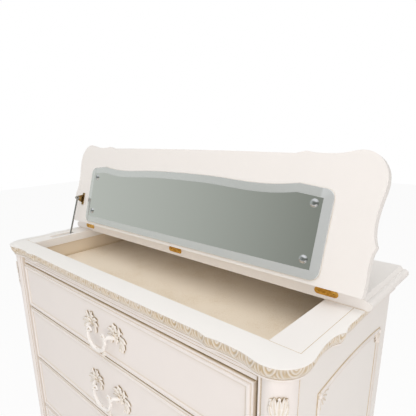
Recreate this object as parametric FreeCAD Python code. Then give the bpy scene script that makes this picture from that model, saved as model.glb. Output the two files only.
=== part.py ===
"""Painted chest of drawers with a lift-up top, built as an assembly of separate pieces.

Modelling frame: X to the right, Y to the back, Z up, y = 0 on the lid's hinge line and z = 0 on the
top face of the frame that the lid shuts on. Every piece is moved at export, so that the origin is at the
bottom centre of the whole chest. Lengths are millimetres.
"""
import FreeCAD, Part
import math
import os

V = FreeCAD.Vector

# Plan of the top
HALF_WIDTH = 450.0
FRONT_REACH = 234.0
BACK_REACH = 202.0
EAR = 5.0
FRONT_SWELL = 6.4

# Top frame, rear board and lid
BOARD = 22.0
OPEN_HALF = 381.6
OPEN_FRONT = 183.5
EDGE_FLAT = 6.0
EDGE_INSET = 7.0
REAR_INSET = 2.0
LID_GAP = 0.4
LID_INSET = 1.0
LID_TOP_INSET = 2.5
LID_SQUARE = 16.0
REAR_NOSE = 10.5
LID_ANGLE = 106.5
EDGING = 18.0

# Carcass
SIDE_INSET = 18.0
SIDE_BOARD = 18.0
CORNICE = 28.0
BEAD = 6.0
BACK_BOARD = 8.0
BACK_POST = 14.0
BACK_POST_WIDTH = 32.0
ROWS = (131.0, 168.0, 165.0, 166.0, 166.0)
LEG = 174.0
DUST_BOARD = 8.0
GUIDE_HEIGHT = 7.0
GUIDE_GAP = 2.0
APRON = 46.0
APRON_BOARD = 14.0
APRON_RISE = 16.0
APRON_CORNER = 20.0
LEG_DEPTH = 36.4
LEG_TAPER = 8.0

# Front corner posts
POST_INNER = 391.0
POST_REBATE = 6.5
POST_FACE = 224.0
FRIEZE_FACE = 217.0
POST_DEEP = 180.0

# Compartment under the lid
WALL = 8.0
WALL_SETBACK = 3.4
COMPARTMENT_DEPTH = 64.0
FLOOR_BOARD = 6.0
FELT = 1.0

# Drawers
DRAWER_HALF = 382.0
DRAWER_FACE = 220.0
DRAWER_FRONT = 19.0
DRAWER_GAP = 1.25
BEAD_PROUD = 3.5
BEAD_WIDTH = 8.0
BEAD_MARGIN = 4.0
TRAY_HALF = 372.0
TRAY_BOARD = 12.0
TRAY_BOTTOM = 6.0
TRAY_BACK = 175.0
TRAY_HEADROOM = 12.0
RUN_GAP = 0.3

# Drawer handles
PLATE_SPREAD = 45.0
PLATE_WIDTH = 46.0
PLATE_HEIGHT = 52.0
PLATE_THICK = 5.0
BAIL_RADIUS = 36.0
BAIL_WIRE = 4.0
BAIL_PROUD = 22.0

# Hinges
HINGE_X = 382.0
LEAF_WIDTH = 44.0
LEAF_LOW = 4.6
LEAF_THICK = 1.2
LEAF_SINK = 0.2
KNUCKLE = 2.2
PIN = 1.0
PIN_GAP = 0.05
KNUCKLE_GAP = 0.3
SCREW = 1.5
SCREW_HEAD = 3.0
SCREW_LENGTH = 10.0
SCREW_SPREAD = 14.0

# Mirror on the lid's underside
MIRROR_HALF = 374.0
MIRROR_LOW = 8.0
MIRROR_HIGH = 177.0
MIRROR_THICK = 5.0
MIRROR_CORNER = 18.0
CAP_RADIUS = 7.75
CAP_PROUD = 3.5
CAP_X = 341.7
CAP_LOW = 42.3
CAP_HIGH = 143.1
CAP_SCREW = 2.0

# Stay
STAY_X = 405.2
STAY_AT = 72.0
STAY_DROP = 22.0
STAY_FOOT = 65.4
STAY_CLEAR = 3.2
ROD = 2.5
COLLAR = 8.0
COLLAR_LENGTH = 5.0
EYE = 4.5
EYE_HALF = 3.0
STAY_PIN = 1.5
LUG = 2.5
STAY_PLATE = 2.0
SLOT_HALF = 6.5
SLOT_NEAR = 50.0
SLOT_FAR = 122.0
RECESS_DEPTH = 3.0
RECESS_SIDE = 4.5

# Side panel moulding
SIDE_MOULD = 4.0
SIDE_MOULD_WIDTH = 14.0
SIDE_MOULD_FRONT = 118.0
SIDE_MOULD_BACK = 160.0
SIDE_MOULD_TOP = 103.0
SIDE_MOULD_ARCH = 8.0

# Legs and corner leaves
KNEE = 31.0
ANKLE = 13.0
TOE = 21.0
FOOT_SETBACK = 22.0
FOOT_FORWARD = 24.0
LEAF_RADIUS = 15.0
LEAF_TIP = 5.0
LEAF_LENGTH = 62.0

side_x = HALF_WIDTH - SIDE_INSET
inner_x = side_x - SIDE_BOARD
back_y = BACK_REACH - REAR_INSET
panel_y = back_y - BACK_POST
body_top = -BOARD - CORNICE
wall_top = -BOARD - BEAD
body_low = body_top - sum(ROWS)
floor_z = body_low - LEG
mirror_z = LID_GAP - MIRROR_THICK
wall_x = OPEN_HALF + WALL_SETBACK
wall_y = OPEN_FRONT + WALL_SETBACK
front_y = DRAWER_FACE - DRAWER_FRONT
out_half = HALF_WIDTH + REAR_NOSE
swell_reach = max(FRONT_REACH + FRONT_SWELL, DRAWER_FACE + BAIL_PROUD + BAIL_WIRE)
SHIFT = V(0, (swell_reach - BACK_REACH) / 2, -floor_z)


def box(x0, x1, y0, y1, z0, z1):
    """A box between the given limits."""
    return Part.makeBox(x1 - x0, y1 - y0, z1 - z0, V(x0, y0, z0))


def mirrored(shape):
    """The same shape on the other side of the chest."""
    return shape.mirror(V(0, 0, 0), V(1, 0, 0))


def join(shapes):
    """Several overlapping or touching solids as one."""
    first = shapes[0]
    for other in shapes[1:]:
        first = first.fuse(other)
    return first.removeSplitter()


def spline(points):
    """A smooth edge through the given points."""
    curve = Part.BSplineCurve()
    curve.interpolate(points)
    return curve.toShape()


def plan_wire(z, inset, back):
    """The serpentine plan of the top as a closed wire at height z.

    It is shrunk by inset towards the middle and closed with a straight back edge at y = back.
    """
    wide = 1 - inset / (HALF_WIDTH + EAR)
    deep = 1 - inset / FRONT_REACH
    half = HALF_WIDTH
    reach = FRONT_REACH
    swell = FRONT_SWELL
    shoulder = [(half - 144, reach + 3), (half - 125, reach), (half - 98, reach - 0.8), (half - 73, reach + 1.2),
                (half - 46, reach + swell), (half - 31, reach + swell - 2.1), (half - 18, reach - 2.5),
                (half - 6, reach - 16), (half + 1, reach - 33), (half + 2, reach - 51), (half - 0.5, reach - 70),
                (half - 3, reach - 92), (half - 3, reach - 119), (half, reach - 136), (half + EAR, reach - 148)]
    waist = [(half + EAR, reach - 148), (half + 1, reach - 164), (half + 0.5, reach - 194), (half, 0)]
    kink = [(half - 165, reach - 2), (half - 144, reach + 3)]

    def at(pair, side):
        return V(side * pair[0] * wide, -pair[1] * deep, z)

    def run(pairs, side):
        return [at(pair, side) for pair in pairs]

    end = at((half, 0), 1)
    edges = [
        Part.LineSegment(V(-end.x, back, z), at((half, 0), -1)).toShape(),
        spline(run(waist[::-1], -1)),
        spline(run(shoulder[::-1], -1)),
        Part.LineSegment(at(kink[1], -1), at(kink[0], -1)).toShape(),
        Part.Arc(at(kink[0], -1), at((0, reach), 1), at(kink[0], 1)).toShape(),
        Part.LineSegment(at(kink[0], 1), at(kink[1], 1)).toShape(),
        spline(run(shoulder, 1)),
        spline(run(waist, 1)),
        Part.LineSegment(at((half, 0), 1), V(end.x, back, z)).toShape(),
        Part.LineSegment(V(end.x, back, z), V(-end.x, back, z)).toShape(),
    ]
    return Part.Wire(edges)


def plan_solid(levels, back):
    """A board with the serpentine plan, whose edge passes through the (z, inset) levels."""
    wires = [plan_wire(z, inset, back) for z, inset in levels]
    return Part.makeLoft(wires, True, True)


def prism_x(points, x0, x1):
    """A polygon of (y, z) points drawn out along X."""
    wire = Part.makePolygon([V(x0, y, z) for y, z in points] + [V(x0, points[0][0], points[0][1])])
    return Part.Face(wire).extrude(V(x1 - x0, 0, 0))


def top_frame():
    """The five boards of the frame that the lid shuts on, with the moulded edge."""
    big = 2 * HALF_WIDTH
    blank = plan_solid([(-BOARD, EDGE_INSET), (-EDGE_FLAT, 1.0), (0.0, 0.0)], back_y)
    front = blank.common(box(-big, big, -big, -OPEN_FRONT, -BOARD, 0))
    edging = blank.common(box(side_x, big, -OPEN_FRONT, back_y, -BOARD, 0))
    rail = box(OPEN_HALF, side_x, -OPEN_FRONT, panel_y, -BOARD, 0)
    left = mirrored(rail)
    slot_x = -STAY_X - SLOT_HALF
    left = left.cut(box(slot_x, slot_x + 2 * SLOT_HALF, -SLOT_FAR, -SLOT_NEAR, -BOARD, 0))
    left = left.cut(box(slot_x - RECESS_SIDE, slot_x + 2 * SLOT_HALF + RECESS_SIDE, -SLOT_FAR, -SLOT_NEAR,
                        -RECESS_DEPTH, 0))
    return {
        "frame_front_rail": front,
        "frame_right_edging": edging,
        "frame_left_edging": mirrored(edging),
        "frame_right_rail": rail,
        "frame_left_rail": left,
        "frame_back_rail": box(-side_x, side_x, panel_y, back_y, -BOARD, 0),
    }


def hinge_places():
    """The middle of each of the three hinges along the hinge line."""
    return (-HINGE_X, 0.0, HINGE_X)


def knuckle_bed(extra):
    """The round bed that the hinge knuckles lie in, for all three hinges."""
    beds = []
    for x in hinge_places():
        start = V(x - LEAF_WIDTH / 2 - extra, 0, BOARD)
        beds.append(Part.makeCylinder(KNUCKLE + extra, LEAF_WIDTH + 2 * extra, start, V(1, 0, 0)))
    return beds


def leaf_screws(x, side):
    """Two countersunk screws of one hinge leaf; side is 1 for the rear board, -1 for the lid."""
    made = []
    middle = (LEAF_LOW + BOARD - KNUCKLE) / 2
    for step in (-SCREW_SPREAD, SCREW_SPREAD):
        face = V(x + step, side * LEAF_SINK, middle)
        way = V(0, side, 0)
        head = Part.makeCone(SCREW_HEAD, SCREW, LEAF_THICK, face, way)
        shank = Part.makeCylinder(SCREW, SCREW_LENGTH, face, way)
        made.append(head.fuse(shank).removeSplitter())
    return made


def leaf_blank(x, side):
    """The flat of one hinge leaf."""
    near = side * LEAF_SINK
    far = side * (LEAF_SINK + LEAF_THICK)
    return box(x - LEAF_WIDTH / 2, x + LEAF_WIDTH / 2, min(near, far), max(near, far), LEAF_LOW, BOARD)


def hinges():
    """Fixed leaves with their pins, swinging leaves with the middle knuckle, and all the screws."""
    fixed, swinging, fixed_screws, lid_screws = [], [], [], []
    third = LEAF_WIDTH / 3
    axis = V(1, 0, 0)
    for x in hinge_places():
        low = x - LEAF_WIDTH / 2
        leaf = leaf_blank(x, 1)
        for start in (low, low + 2 * third + KNUCKLE_GAP):
            leaf = leaf.fuse(Part.makeCylinder(KNUCKLE, third - KNUCKLE_GAP, V(start, 0, BOARD), axis))
        middle = Part.makeCylinder(KNUCKLE + KNUCKLE_GAP, third + 2 * KNUCKLE_GAP,
                                   V(low + third - KNUCKLE_GAP, 0, BOARD), axis)
        leaf = leaf.cut(middle).fuse(Part.makeCylinder(PIN, LEAF_WIDTH, V(low, 0, BOARD), axis))
        other = leaf_blank(x, -1)
        for start in (low - KNUCKLE_GAP, low + 2 * third):
            clear = Part.makeCylinder(KNUCKLE + KNUCKLE_GAP, third + KNUCKLE_GAP, V(start, 0, BOARD), axis)
            other = other.cut(clear)
        other = other.fuse(Part.makeCylinder(KNUCKLE, third, V(low + third, 0, BOARD), axis))
        other = other.cut(Part.makeCylinder(PIN + PIN_GAP, LEAF_WIDTH, V(low, 0, BOARD), axis))
        screws = leaf_screws(x, 1)
        others = leaf_screws(x, -1)
        for screw in screws:
            leaf = leaf.cut(screw)
        for screw in others:
            other = other.cut(screw)
        fixed.append(leaf)
        swinging.append(other)
        fixed_screws += screws
        lid_screws += others
    return fixed, swinging, fixed_screws, lid_screws


def rear_board(fixed_screws):
    """The fixed board behind the lid, with a stepped and rounded profile at both ends."""
    face = V(0, LID_GAP, 0)
    flat = HALF_WIDTH - 6
    nose = HALF_WIDTH
    right = [V(nose, 0, 0), V(nose, 0, BOARD - 6), V(nose - 2, 0, BOARD - 4), V(flat, 0, BOARD)]
    edges = [Part.Arc(V(nose, 0, 0), V(out_half, 0, 8), V(nose, 0, BOARD - 6)).toShape(),
             Part.LineSegment(right[1], right[2]).toShape(),
             Part.LineSegment(right[2], right[3]).toShape(),
             Part.LineSegment(right[3], V(-flat, 0, BOARD)).toShape(),
             Part.LineSegment(V(-flat, 0, BOARD), V(2 - nose, 0, BOARD - 4)).toShape(),
             Part.LineSegment(V(2 - nose, 0, BOARD - 4), V(-nose, 0, BOARD - 6)).toShape(),
             Part.Arc(V(-nose, 0, BOARD - 6), V(-out_half, 0, 8), V(-nose, 0, 0)).toShape(),
             Part.LineSegment(V(-nose, 0, 0), V(nose, 0, 0)).toShape()]
    board = Part.Face(Part.Wire(edges)).extrude(V(0, BACK_REACH - LID_GAP, 0))
    board.translate(face)
    for x in hinge_places():
        board = board.cut(leaf_blank(x, 1))
    for bed in knuckle_bed(KNUCKLE_GAP):
        board = board.cut(bed)
    for screw in fixed_screws:
        board = board.cut(screw)
    return board


def cornice():
    """Bead under the top frame in three lengths, the front one with the frieze rail over the drawers."""
    big = 2 * HALF_WIDTH
    bead = plan_solid([(wall_top, EDGE_INSET + 1), (-BOARD - 0.5, EDGE_INSET), (-BOARD, EDGE_INSET)], back_y)
    bead = bead.cut(box(-inner_x, inner_x, -front_y + 1, back_y, wall_top, -BOARD))
    post = box(side_x - BACK_POST_WIDTH, side_x, panel_y, back_y, wall_top, -BOARD)
    right = bead.common(box(0, big, -OPEN_FRONT, back_y, wall_top, -BOARD)).cut(post)
    half = POST_INNER - POST_REBATE
    frieze = box(-half, half, -FRIEZE_FACE, 1 - front_y, body_top, wall_top)
    return {
        "cornice_front": join([bead.common(box(-big, big, -big, -OPEN_FRONT, wall_top, -BOARD)), frieze]),
        "cornice_right": right,
        "cornice_left": mirrored(right),
    }


def front_post():
    """One rounded front corner post with the rebate that the drawer fronts close against."""
    inner = POST_INNER - POST_REBATE
    shy = POST_FACE - 12
    corner = side_x + 4
    points = [V(inner, 1 - front_y, 0), V(inner, -shy, 0), V(POST_INNER, -shy, 0), V(POST_INNER, -POST_FACE, 0),
              V(POST_INNER + 12, -POST_FACE - 4, 0)]
    tail = [V(corner, -POST_DEEP - 6, 0), V(side_x, -POST_DEEP, 0), V(inner_x, -POST_DEEP, 0),
            V(inner_x, 1 - front_y, 0), points[0]]
    edges = [Part.LineSegment(a, b).toShape() for a, b in zip(points, points[1:])]
    edges.append(Part.Arc(points[-1], V(corner - 8, -POST_FACE + 8, 0), tail[0]).toShape())
    edges += [Part.LineSegment(a, b).toShape() for a, b in zip(tail, tail[1:])]
    post = Part.Face(Part.Wire(edges)).extrude(V(0, 0, wall_top - body_low))
    post.translate(V(0, 0, body_low))
    return post


def back_post():
    """One back corner post that runs down to the floor as a tapered leg."""
    x0 = side_x - BACK_POST_WIDTH
    upper = box(x0, side_x, panel_y, back_y, body_low, -BOARD)
    thick = LEG_DEPTH
    top = Part.makePolygon([V(x0, back_y - thick, body_low), V(side_x, back_y - thick, body_low),
                            V(side_x, back_y, body_low), V(x0, back_y, body_low),
                            V(x0, back_y - thick, body_low)])
    slim = LEG_TAPER
    low = Part.makePolygon([V(x0 + slim, back_y - thick + slim, floor_z), V(side_x, back_y - thick + slim, floor_z),
                            V(side_x, back_y, floor_z), V(x0 + slim, back_y, floor_z),
                            V(x0 + slim, back_y - thick + slim, floor_z)])
    leg = Part.makeLoft([low, top], True, True)
    return join([upper, leg])


def carcass(foot):
    """Side panels, posts, back, dust boards with drawer guides, and aprons."""
    side = box(inner_x, side_x, -POST_DEEP, panel_y, body_low, wall_top)
    post = front_post()
    rear = back_post()
    made = {
        "side_panel_right": side,
        "side_panel_left": mirrored(side),
        "front_post_right": post,
        "front_post_left": mirrored(post),
        "back_post_right": rear,
        "back_post_left": mirrored(rear),
        "back_panel": box(BACK_POST_WIDTH - side_x, side_x - BACK_POST_WIDTH, panel_y, panel_y + BACK_BOARD,
                          body_low, -COMPARTMENT_DEPTH - FLOOR_BOARD),
    }
    level = body_top
    for number, height in enumerate(ROWS, 1):
        level -= height
        low = max(level - DUST_BOARD / 2, body_low)
        top = level + DUST_BOARD / 2
        board = box(-inner_x, inner_x, 1 - front_y, panel_y, low, top)
        guide = box(TRAY_HALF + GUIDE_GAP, inner_x, 1 - front_y, panel_y, top, top + GUIDE_HEIGHT)
        board = join([board, guide, mirrored(guide)])
        made["dust_board_%d" % number] = board.cut(post).cut(mirrored(post))
    keel_half = POST_INNER - APRON_CORNER
    keel = box(-keel_half, keel_half, APRON_BOARD - DRAWER_FACE, panel_y, body_low - DUST_BOARD / 2, body_low)
    made["dust_board_%d" % len(ROWS)] = join([made["dust_board_%d" % len(ROWS)], keel])
    made.update(aprons(foot))
    return made


def aprons(foot):
    """Shaped aprons under the front and the two sides."""
    low = body_low - APRON
    y0 = APRON_BOARD - DRAWER_FACE
    half = side_x - FOOT_SETBACK
    high = body_low - APRON_RISE
    front = Part.Wire([
        Part.LineSegment(V(-half, y0, body_low), V(-half, y0, low)).toShape(),
        Part.Arc(V(-half, y0, low), V(-0.7 * half, y0, high), V(-0.38 * half, y0, low + 14)).toShape(),
        Part.Arc(V(-0.38 * half, y0, low + 14), V(0, y0, low - 6), V(0.38 * half, y0, low + 14)).toShape(),
        Part.Arc(V(0.38 * half, y0, low + 14), V(0.7 * half, y0, high), V(half, y0, low)).toShape(),
        Part.LineSegment(V(half, y0, low), V(half, y0, body_low)).toShape(),
        Part.LineSegment(V(half, y0, body_low), V(-half, y0, body_low)).toShape()])
    start = -POST_DEEP
    end = back_y - LEG_DEPTH
    middle = (start + end) / 2
    side = Part.Wire([
        Part.LineSegment(V(side_x, start, body_low), V(side_x, start, low)).toShape(),
        Part.Arc(V(side_x, start, low), V(side_x, middle, high), V(side_x, end, low)).toShape(),
        Part.LineSegment(V(side_x, end, low), V(side_x, end, body_low)).toShape(),
        Part.LineSegment(V(side_x, end, body_low), V(side_x, start, body_low)).toShape()])
    right = Part.Face(side).extrude(V(-APRON_BOARD, 0, 0)).cut(foot)
    return {
        "apron_front": Part.Face(front).extrude(V(0, -APRON_BOARD, 0)).cut(foot).cut(mirrored(foot)),
        "apron_right": right,
        "apron_left": mirrored(right),
    }


def front_foot():
    """One curved front leg: a full knee, a slim ankle and a spread toe."""
    centre_x = side_x - FOOT_SETBACK
    centre_y = -POST_DEEP - FOOT_FORWARD
    sections = [(0.0, 8.0, TOE), (0.1, 9.0, TOE + 1), (0.22, 3.0, ANKLE + 2), (0.42, -2.0, ANKLE + 1),
                (0.62, 2.0, ANKLE + 6), (0.82, 4.0, KNEE - 3), (1.0, 0.0, KNEE - 2)]
    wires = []
    for share, out, radius in sections:
        centre = V(centre_x + out, centre_y - out, floor_z + share * LEG)
        wires.append(Part.Wire(Part.Circle(centre, V(0, 0, 1), radius).toShape()))
    return Part.makeLoft(wires, True, False)


def side_moulding():
    """The raised frame on one side panel, with a gently arched top and bottom."""
    def ring(margin):
        y0 = -SIDE_MOULD_FRONT + margin
        y1 = SIDE_MOULD_BACK - margin
        z1 = -SIDE_MOULD_TOP - margin
        z0 = body_low + SIDE_MOULD_TOP + body_top + margin
        arch = SIDE_MOULD_ARCH
        middle = (y0 + y1) / 2
        wire = Part.Wire([
            Part.LineSegment(V(side_x, y0, z0), V(side_x, y0, z1)).toShape(),
            Part.Arc(V(side_x, y0, z1), V(side_x, middle, z1 + arch), V(side_x, y1, z1)).toShape(),
            Part.LineSegment(V(side_x, y1, z1), V(side_x, y1, z0)).toShape(),
            Part.Arc(V(side_x, y1, z0), V(side_x, middle, z0 - arch), V(side_x, y0, z0)).toShape()])
        return Part.Face(wire).extrude(V(SIDE_MOULD, 0, 0))
    return ring(0).cut(ring(SIDE_MOULD_WIDTH))


def corner_leaf(post):
    """The carved leaf at the top of one front corner post."""
    leaf = Part.makeCone(LEAF_TIP, LEAF_RADIUS, LEAF_LENGTH,
                         V(side_x - 6, -POST_FACE + 6, body_top - LEAF_LENGTH), V(0, 0, 1))
    return leaf.cut(post)


def compartment():
    """Walls, floor and felt lining of the shallow compartment under the lid."""
    low = -COMPARTMENT_DEPTH
    out_x = wall_x + WALL
    right = box(wall_x, out_x, -wall_y, panel_y, low, -BOARD)
    return {
        "compartment_front_wall": box(-out_x, out_x, -wall_y - WALL, -wall_y, low, -BOARD),
        "compartment_right_wall": right,
        "compartment_left_wall": mirrored(right),
        "compartment_back_wall": box(BACK_POST_WIDTH - side_x, side_x - BACK_POST_WIDTH, panel_y,
                                     panel_y + BACK_BOARD, low, -BOARD),
        "compartment_floor": box(-out_x, out_x, -wall_y - WALL, panel_y + BACK_BOARD, low - FLOOR_BOARD, low),
        "felt_lining": box(-wall_x, wall_x, -wall_y, panel_y, low, low + FELT),
    }


def drawer_levels():
    """For each drawer: front low, front high, tray low and tray high."""
    levels = []
    top = body_top
    for number, height in enumerate(ROWS):
        low = top - height
        roof = top - DUST_BOARD / 2
        if number == 0:
            roof = -COMPARTMENT_DEPTH - FLOOR_BOARD
        levels.append((low + DRAWER_GAP, top - DRAWER_GAP, low + DUST_BOARD / 2 + RUN_GAP, roof - TRAY_HEADROOM))
        top = low
    return levels


def drawer_front(low, high):
    """A drawer front with a raised bead round its edge."""
    panel = box(-DRAWER_HALF, DRAWER_HALF, -DRAWER_FACE, -front_y, low, high)
    m = BEAD_MARGIN
    n = BEAD_MARGIN + BEAD_WIDTH
    face = -DRAWER_FACE - BEAD_PROUD
    bead = box(m - DRAWER_HALF, DRAWER_HALF - m, face, -DRAWER_FACE, low + m, high - m)
    bead = bead.cut(box(n - DRAWER_HALF, DRAWER_HALF - n, face, -DRAWER_FACE, low + n, high - n))
    return join([panel, bead])


def drawer_tray(low, high):
    """The glued box behind a drawer front: two sides, a back and a bottom."""
    side = box(TRAY_HALF - TRAY_BOARD, TRAY_HALF, -front_y, TRAY_BACK, low, high)
    return join([side, mirrored(side),
                 box(-TRAY_HALF, TRAY_HALF, TRAY_BACK - TRAY_BOARD, TRAY_BACK, low, high),
                 box(-TRAY_HALF, TRAY_HALF, -front_y, TRAY_BACK, low, low + TRAY_BOTTOM)])


def drawer_handle(middle):
    """One cast handle: two leaf plates joined by a hanging swan-neck grip."""
    face = -DRAWER_FACE
    parts = []
    for side in (-1, 1):
        x = side * PLATE_SPREAD
        plate = Part.Face(Part.Wire(Part.Ellipse(V(0, 0, 0), PLATE_HEIGHT / 2, PLATE_WIDTH / 2).toShape()))
        plate.rotate(V(0, 0, 0), V(0, 0, 1), 90)
        plate.rotate(V(0, 0, 0), V(1, 0, 0), 90)
        plate.translate(V(x, face, middle))
        parts.append(plate.extrude(V(0, -PLATE_THICK, 0)))
        parts.append(Part.makeCylinder(BAIL_WIRE, BAIL_PROUD, V(side * BAIL_RADIUS, face, middle), V(0, -1, 0)))
        parts.append(Part.makeSphere(BAIL_WIRE, V(side * BAIL_RADIUS, face - BAIL_PROUD, middle)))
    bail = Part.makeTorus(BAIL_RADIUS, BAIL_WIRE, V(0, face - BAIL_PROUD, middle), V(0, 1, 0))
    big = 2 * BAIL_RADIUS
    parts.append(bail.common(box(-big, big, -2 * DRAWER_FACE, 0, middle - big, middle)))
    return join(parts)


def lid_board(lid_screws, caps):
    """The lifting lid with its moulded edge, hinge mortises and screw holes."""
    lid = plan_solid([(LID_GAP, LID_INSET), (LID_SQUARE, LID_INSET), (BOARD, LID_TOP_INSET)], BOARD)
    lid = lid.cut(box(-out_half, out_half, -LID_GAP, BOARD, 0, BOARD))
    for x in hinge_places():
        lid = lid.cut(leaf_blank(x, -1))
    for tool in knuckle_bed(KNUCKLE_GAP) + lid_screws + caps:
        lid = lid.cut(tool)
    return lid


def mirror_caps():
    """Four domed caps, each with the screw that holds the mirror to the lid."""
    caps = []
    for x in (-CAP_X, CAP_X):
        for s in (CAP_LOW, CAP_HIGH):
            dome = Part.makeCone(CAP_RADIUS - 2, CAP_RADIUS, CAP_PROUD, V(x, -s, mirror_z - CAP_PROUD), V(0, 0, 1))
            shank = Part.makeCylinder(CAP_SCREW, MIRROR_THICK + 12, V(x, -s, mirror_z), V(0, 0, 1))
            caps.append(dome.fuse(shank))
    return caps


def mirror_glass():
    """The mirror: rounded corners and a gently waved front edge."""
    z = mirror_z
    c = MIRROR_CORNER
    diag = c * (1 - math.sqrt(0.5))
    half, low, high = MIRROR_HALF, MIRROR_LOW, MIRROR_HIGH
    wing = high - 6
    kink = (half - 68, high - 0.5)

    def at(x, s):
        return V(x, -s, z)

    edges = [Part.LineSegment(at(c - half, low), at(half - c, low)).toShape()]
    for side in (1, -1):
        corner = [Part.Arc(at(side * (half - c), low), at(side * (half - diag), low + diag),
                           at(side * half, low + c)).toShape(),
                  Part.LineSegment(at(side * half, low + c), at(side * half, wing - c)).toShape(),
                  Part.Arc(at(side * half, wing - c), at(side * (half - diag), wing - diag),
                           at(side * (half - c), wing)).toShape(),
                  Part.Arc(at(side * (half - c), wing), at(side * (half - 45), high - 1.2),
                           at(side * kink[0], kink[1])).toShape(),
                  spline([at(side * kink[0], kink[1]), at(side * (half - 100), high - 4.5),
                          at(side * (half - 144), high - 7), at(side * 0.31 * half, high - 2), at(0, high)])]
        edges += corner
    glass = Part.Face(Part.Wire(Part.__sortEdges__(edges))).extrude(V(0, 0, MIRROR_THICK))
    for x in (-CAP_X, CAP_X):
        for s in (CAP_LOW, CAP_HIGH):
            glass = glass.cut(Part.makeCylinder(CAP_SCREW + 0.3, 2 * MIRROR_THICK, V(x, -s, z - 1), V(0, 0, 1)))
    return glass


def stay_bracket():
    """Plate on the lid's underside with a standing lug and the pin that the rod hangs on."""
    lug_x = -STAY_X - EYE_HALF - 0.4 - LUG
    pivot = V(lug_x, -STAY_AT, LID_GAP - STAY_DROP)
    plate = box(lug_x, lug_x + 9, -STAY_AT - 18, 18 - STAY_AT, LID_GAP - STAY_PLATE, LID_GAP)
    web = prism_x([(-STAY_AT - 12, LID_GAP - STAY_PLATE), (12 - STAY_AT, LID_GAP - STAY_PLATE),
                   (EYE - STAY_AT, LID_GAP - STAY_DROP), (-STAY_AT - EYE, LID_GAP - STAY_DROP)], lug_x, lug_x + LUG)
    boss = Part.makeCylinder(EYE, LUG, pivot, V(1, 0, 0))
    pin = Part.makeCylinder(STAY_PIN, LUG + 2 * EYE_HALF + 1.2, pivot, V(1, 0, 0))
    return join([plate, web, boss, pin])


def stay_rod():
    """The stay rod in the open pose: eye at the top, collar at the bottom end."""
    lean = math.radians(LID_ANGLE)
    arm = (-STAY_AT, LID_GAP - STAY_DROP - BOARD)
    y = arm[0] * math.cos(lean) + arm[1] * math.sin(lean)
    z = arm[1] * math.cos(lean) - arm[0] * math.sin(lean) + BOARD
    pivot = V(-STAY_X, y, z)
    drop = z + BOARD + STAY_CLEAR
    tilt = math.atan2(STAY_FOOT + y, drop)
    reach = drop / math.cos(tilt)
    way = V(0, -math.sin(tilt), -math.cos(tilt))
    eye = Part.makeCylinder(EYE, 2 * EYE_HALF, pivot - V(EYE_HALF, 0, 0), V(1, 0, 0))
    hole = Part.makeCylinder(STAY_PIN + PIN_GAP, 4 * EYE_HALF, pivot - V(2 * EYE_HALF, 0, 0), V(1, 0, 0))
    rod = Part.makeCylinder(ROD, reach + COLLAR_LENGTH, pivot, way)
    collar = Part.makeCylinder(COLLAR, COLLAR_LENGTH, pivot + way * reach, way)
    return join([eye, rod, collar]).cut(hole)


def open_lid(shape):
    """The shape swung from the shut lid's place to the open one."""
    turned = shape.copy()
    turned.rotate(V(0, 0, BOARD), V(1, 0, 0), -LID_ANGLE)
    return turned


def build():
    """All pieces by name, in the modelling frame."""
    fixed, swinging, fixed_screws, lid_screws = hinges()
    caps = mirror_caps()
    pieces = top_frame()
    pieces.update(cornice())
    foot = front_foot()
    pieces.update(carcass(foot))
    pieces.update(compartment())
    pieces["rear_top_board"] = rear_board(fixed_screws)
    pieces["hinge_plates"] = Part.makeCompound(fixed + fixed_screws)
    moulding = side_moulding()
    pieces["side_moulding_right"] = moulding
    pieces["side_moulding_left"] = mirrored(moulding)
    pieces["front_foot_right"] = foot
    pieces["front_foot_left"] = mirrored(foot)
    leaf = corner_leaf(pieces["front_post_right"])
    pieces["corner_leaf_right"] = leaf
    pieces["corner_leaf_left"] = mirrored(leaf)
    for number, (low, high, tray_low, tray_high) in enumerate(drawer_levels(), 1):
        pieces["drawer_front_%d" % number] = drawer_front(low, high)
        pieces["drawer_tray_%d" % number] = drawer_tray(tray_low, tray_high)
        pieces["drawer_handle_%d" % number] = drawer_handle((low + high) / 2)
    pieces["lid_board"] = open_lid(lid_board(lid_screws, caps))
    pieces["lid_hinge_plates"] = open_lid(Part.makeCompound(swinging + lid_screws))
    pieces["mirror_glass"] = open_lid(mirror_glass())
    pieces["mirror_caps"] = open_lid(Part.makeCompound(caps))
    pieces["stay_bracket"] = open_lid(stay_bracket())
    pieces["stay_rod"] = stay_rod()
    return pieces


def main():
    os.makedirs("parts", exist_ok=True)
    for name, shape in build().items():
        moved = shape.copy()
        moved.translate(SHIFT)
        moved.exportStep("parts/%s.step" % name)
        count = len(moved.Solids)
        print(name, "valid" if moved.isValid() else "NOT VALID", count, "solid" if count == 1 else "solids")


main()
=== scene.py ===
"""Painted chest of drawers with a lifted top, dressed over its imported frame.

Lengths in the classes are millimetres. Plan sizes are taken from the hinge line (y = 0) and from the top
face of the frame (z = 0), and Place turns them into the frame's metres.
"""

import logging
import math
from dataclasses import dataclass, field
from enum import Enum
from typing import Callable, Optional, Sequence

import bpy
import bmesh
import numpy as np
from mathutils import Matrix, Vector

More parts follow.
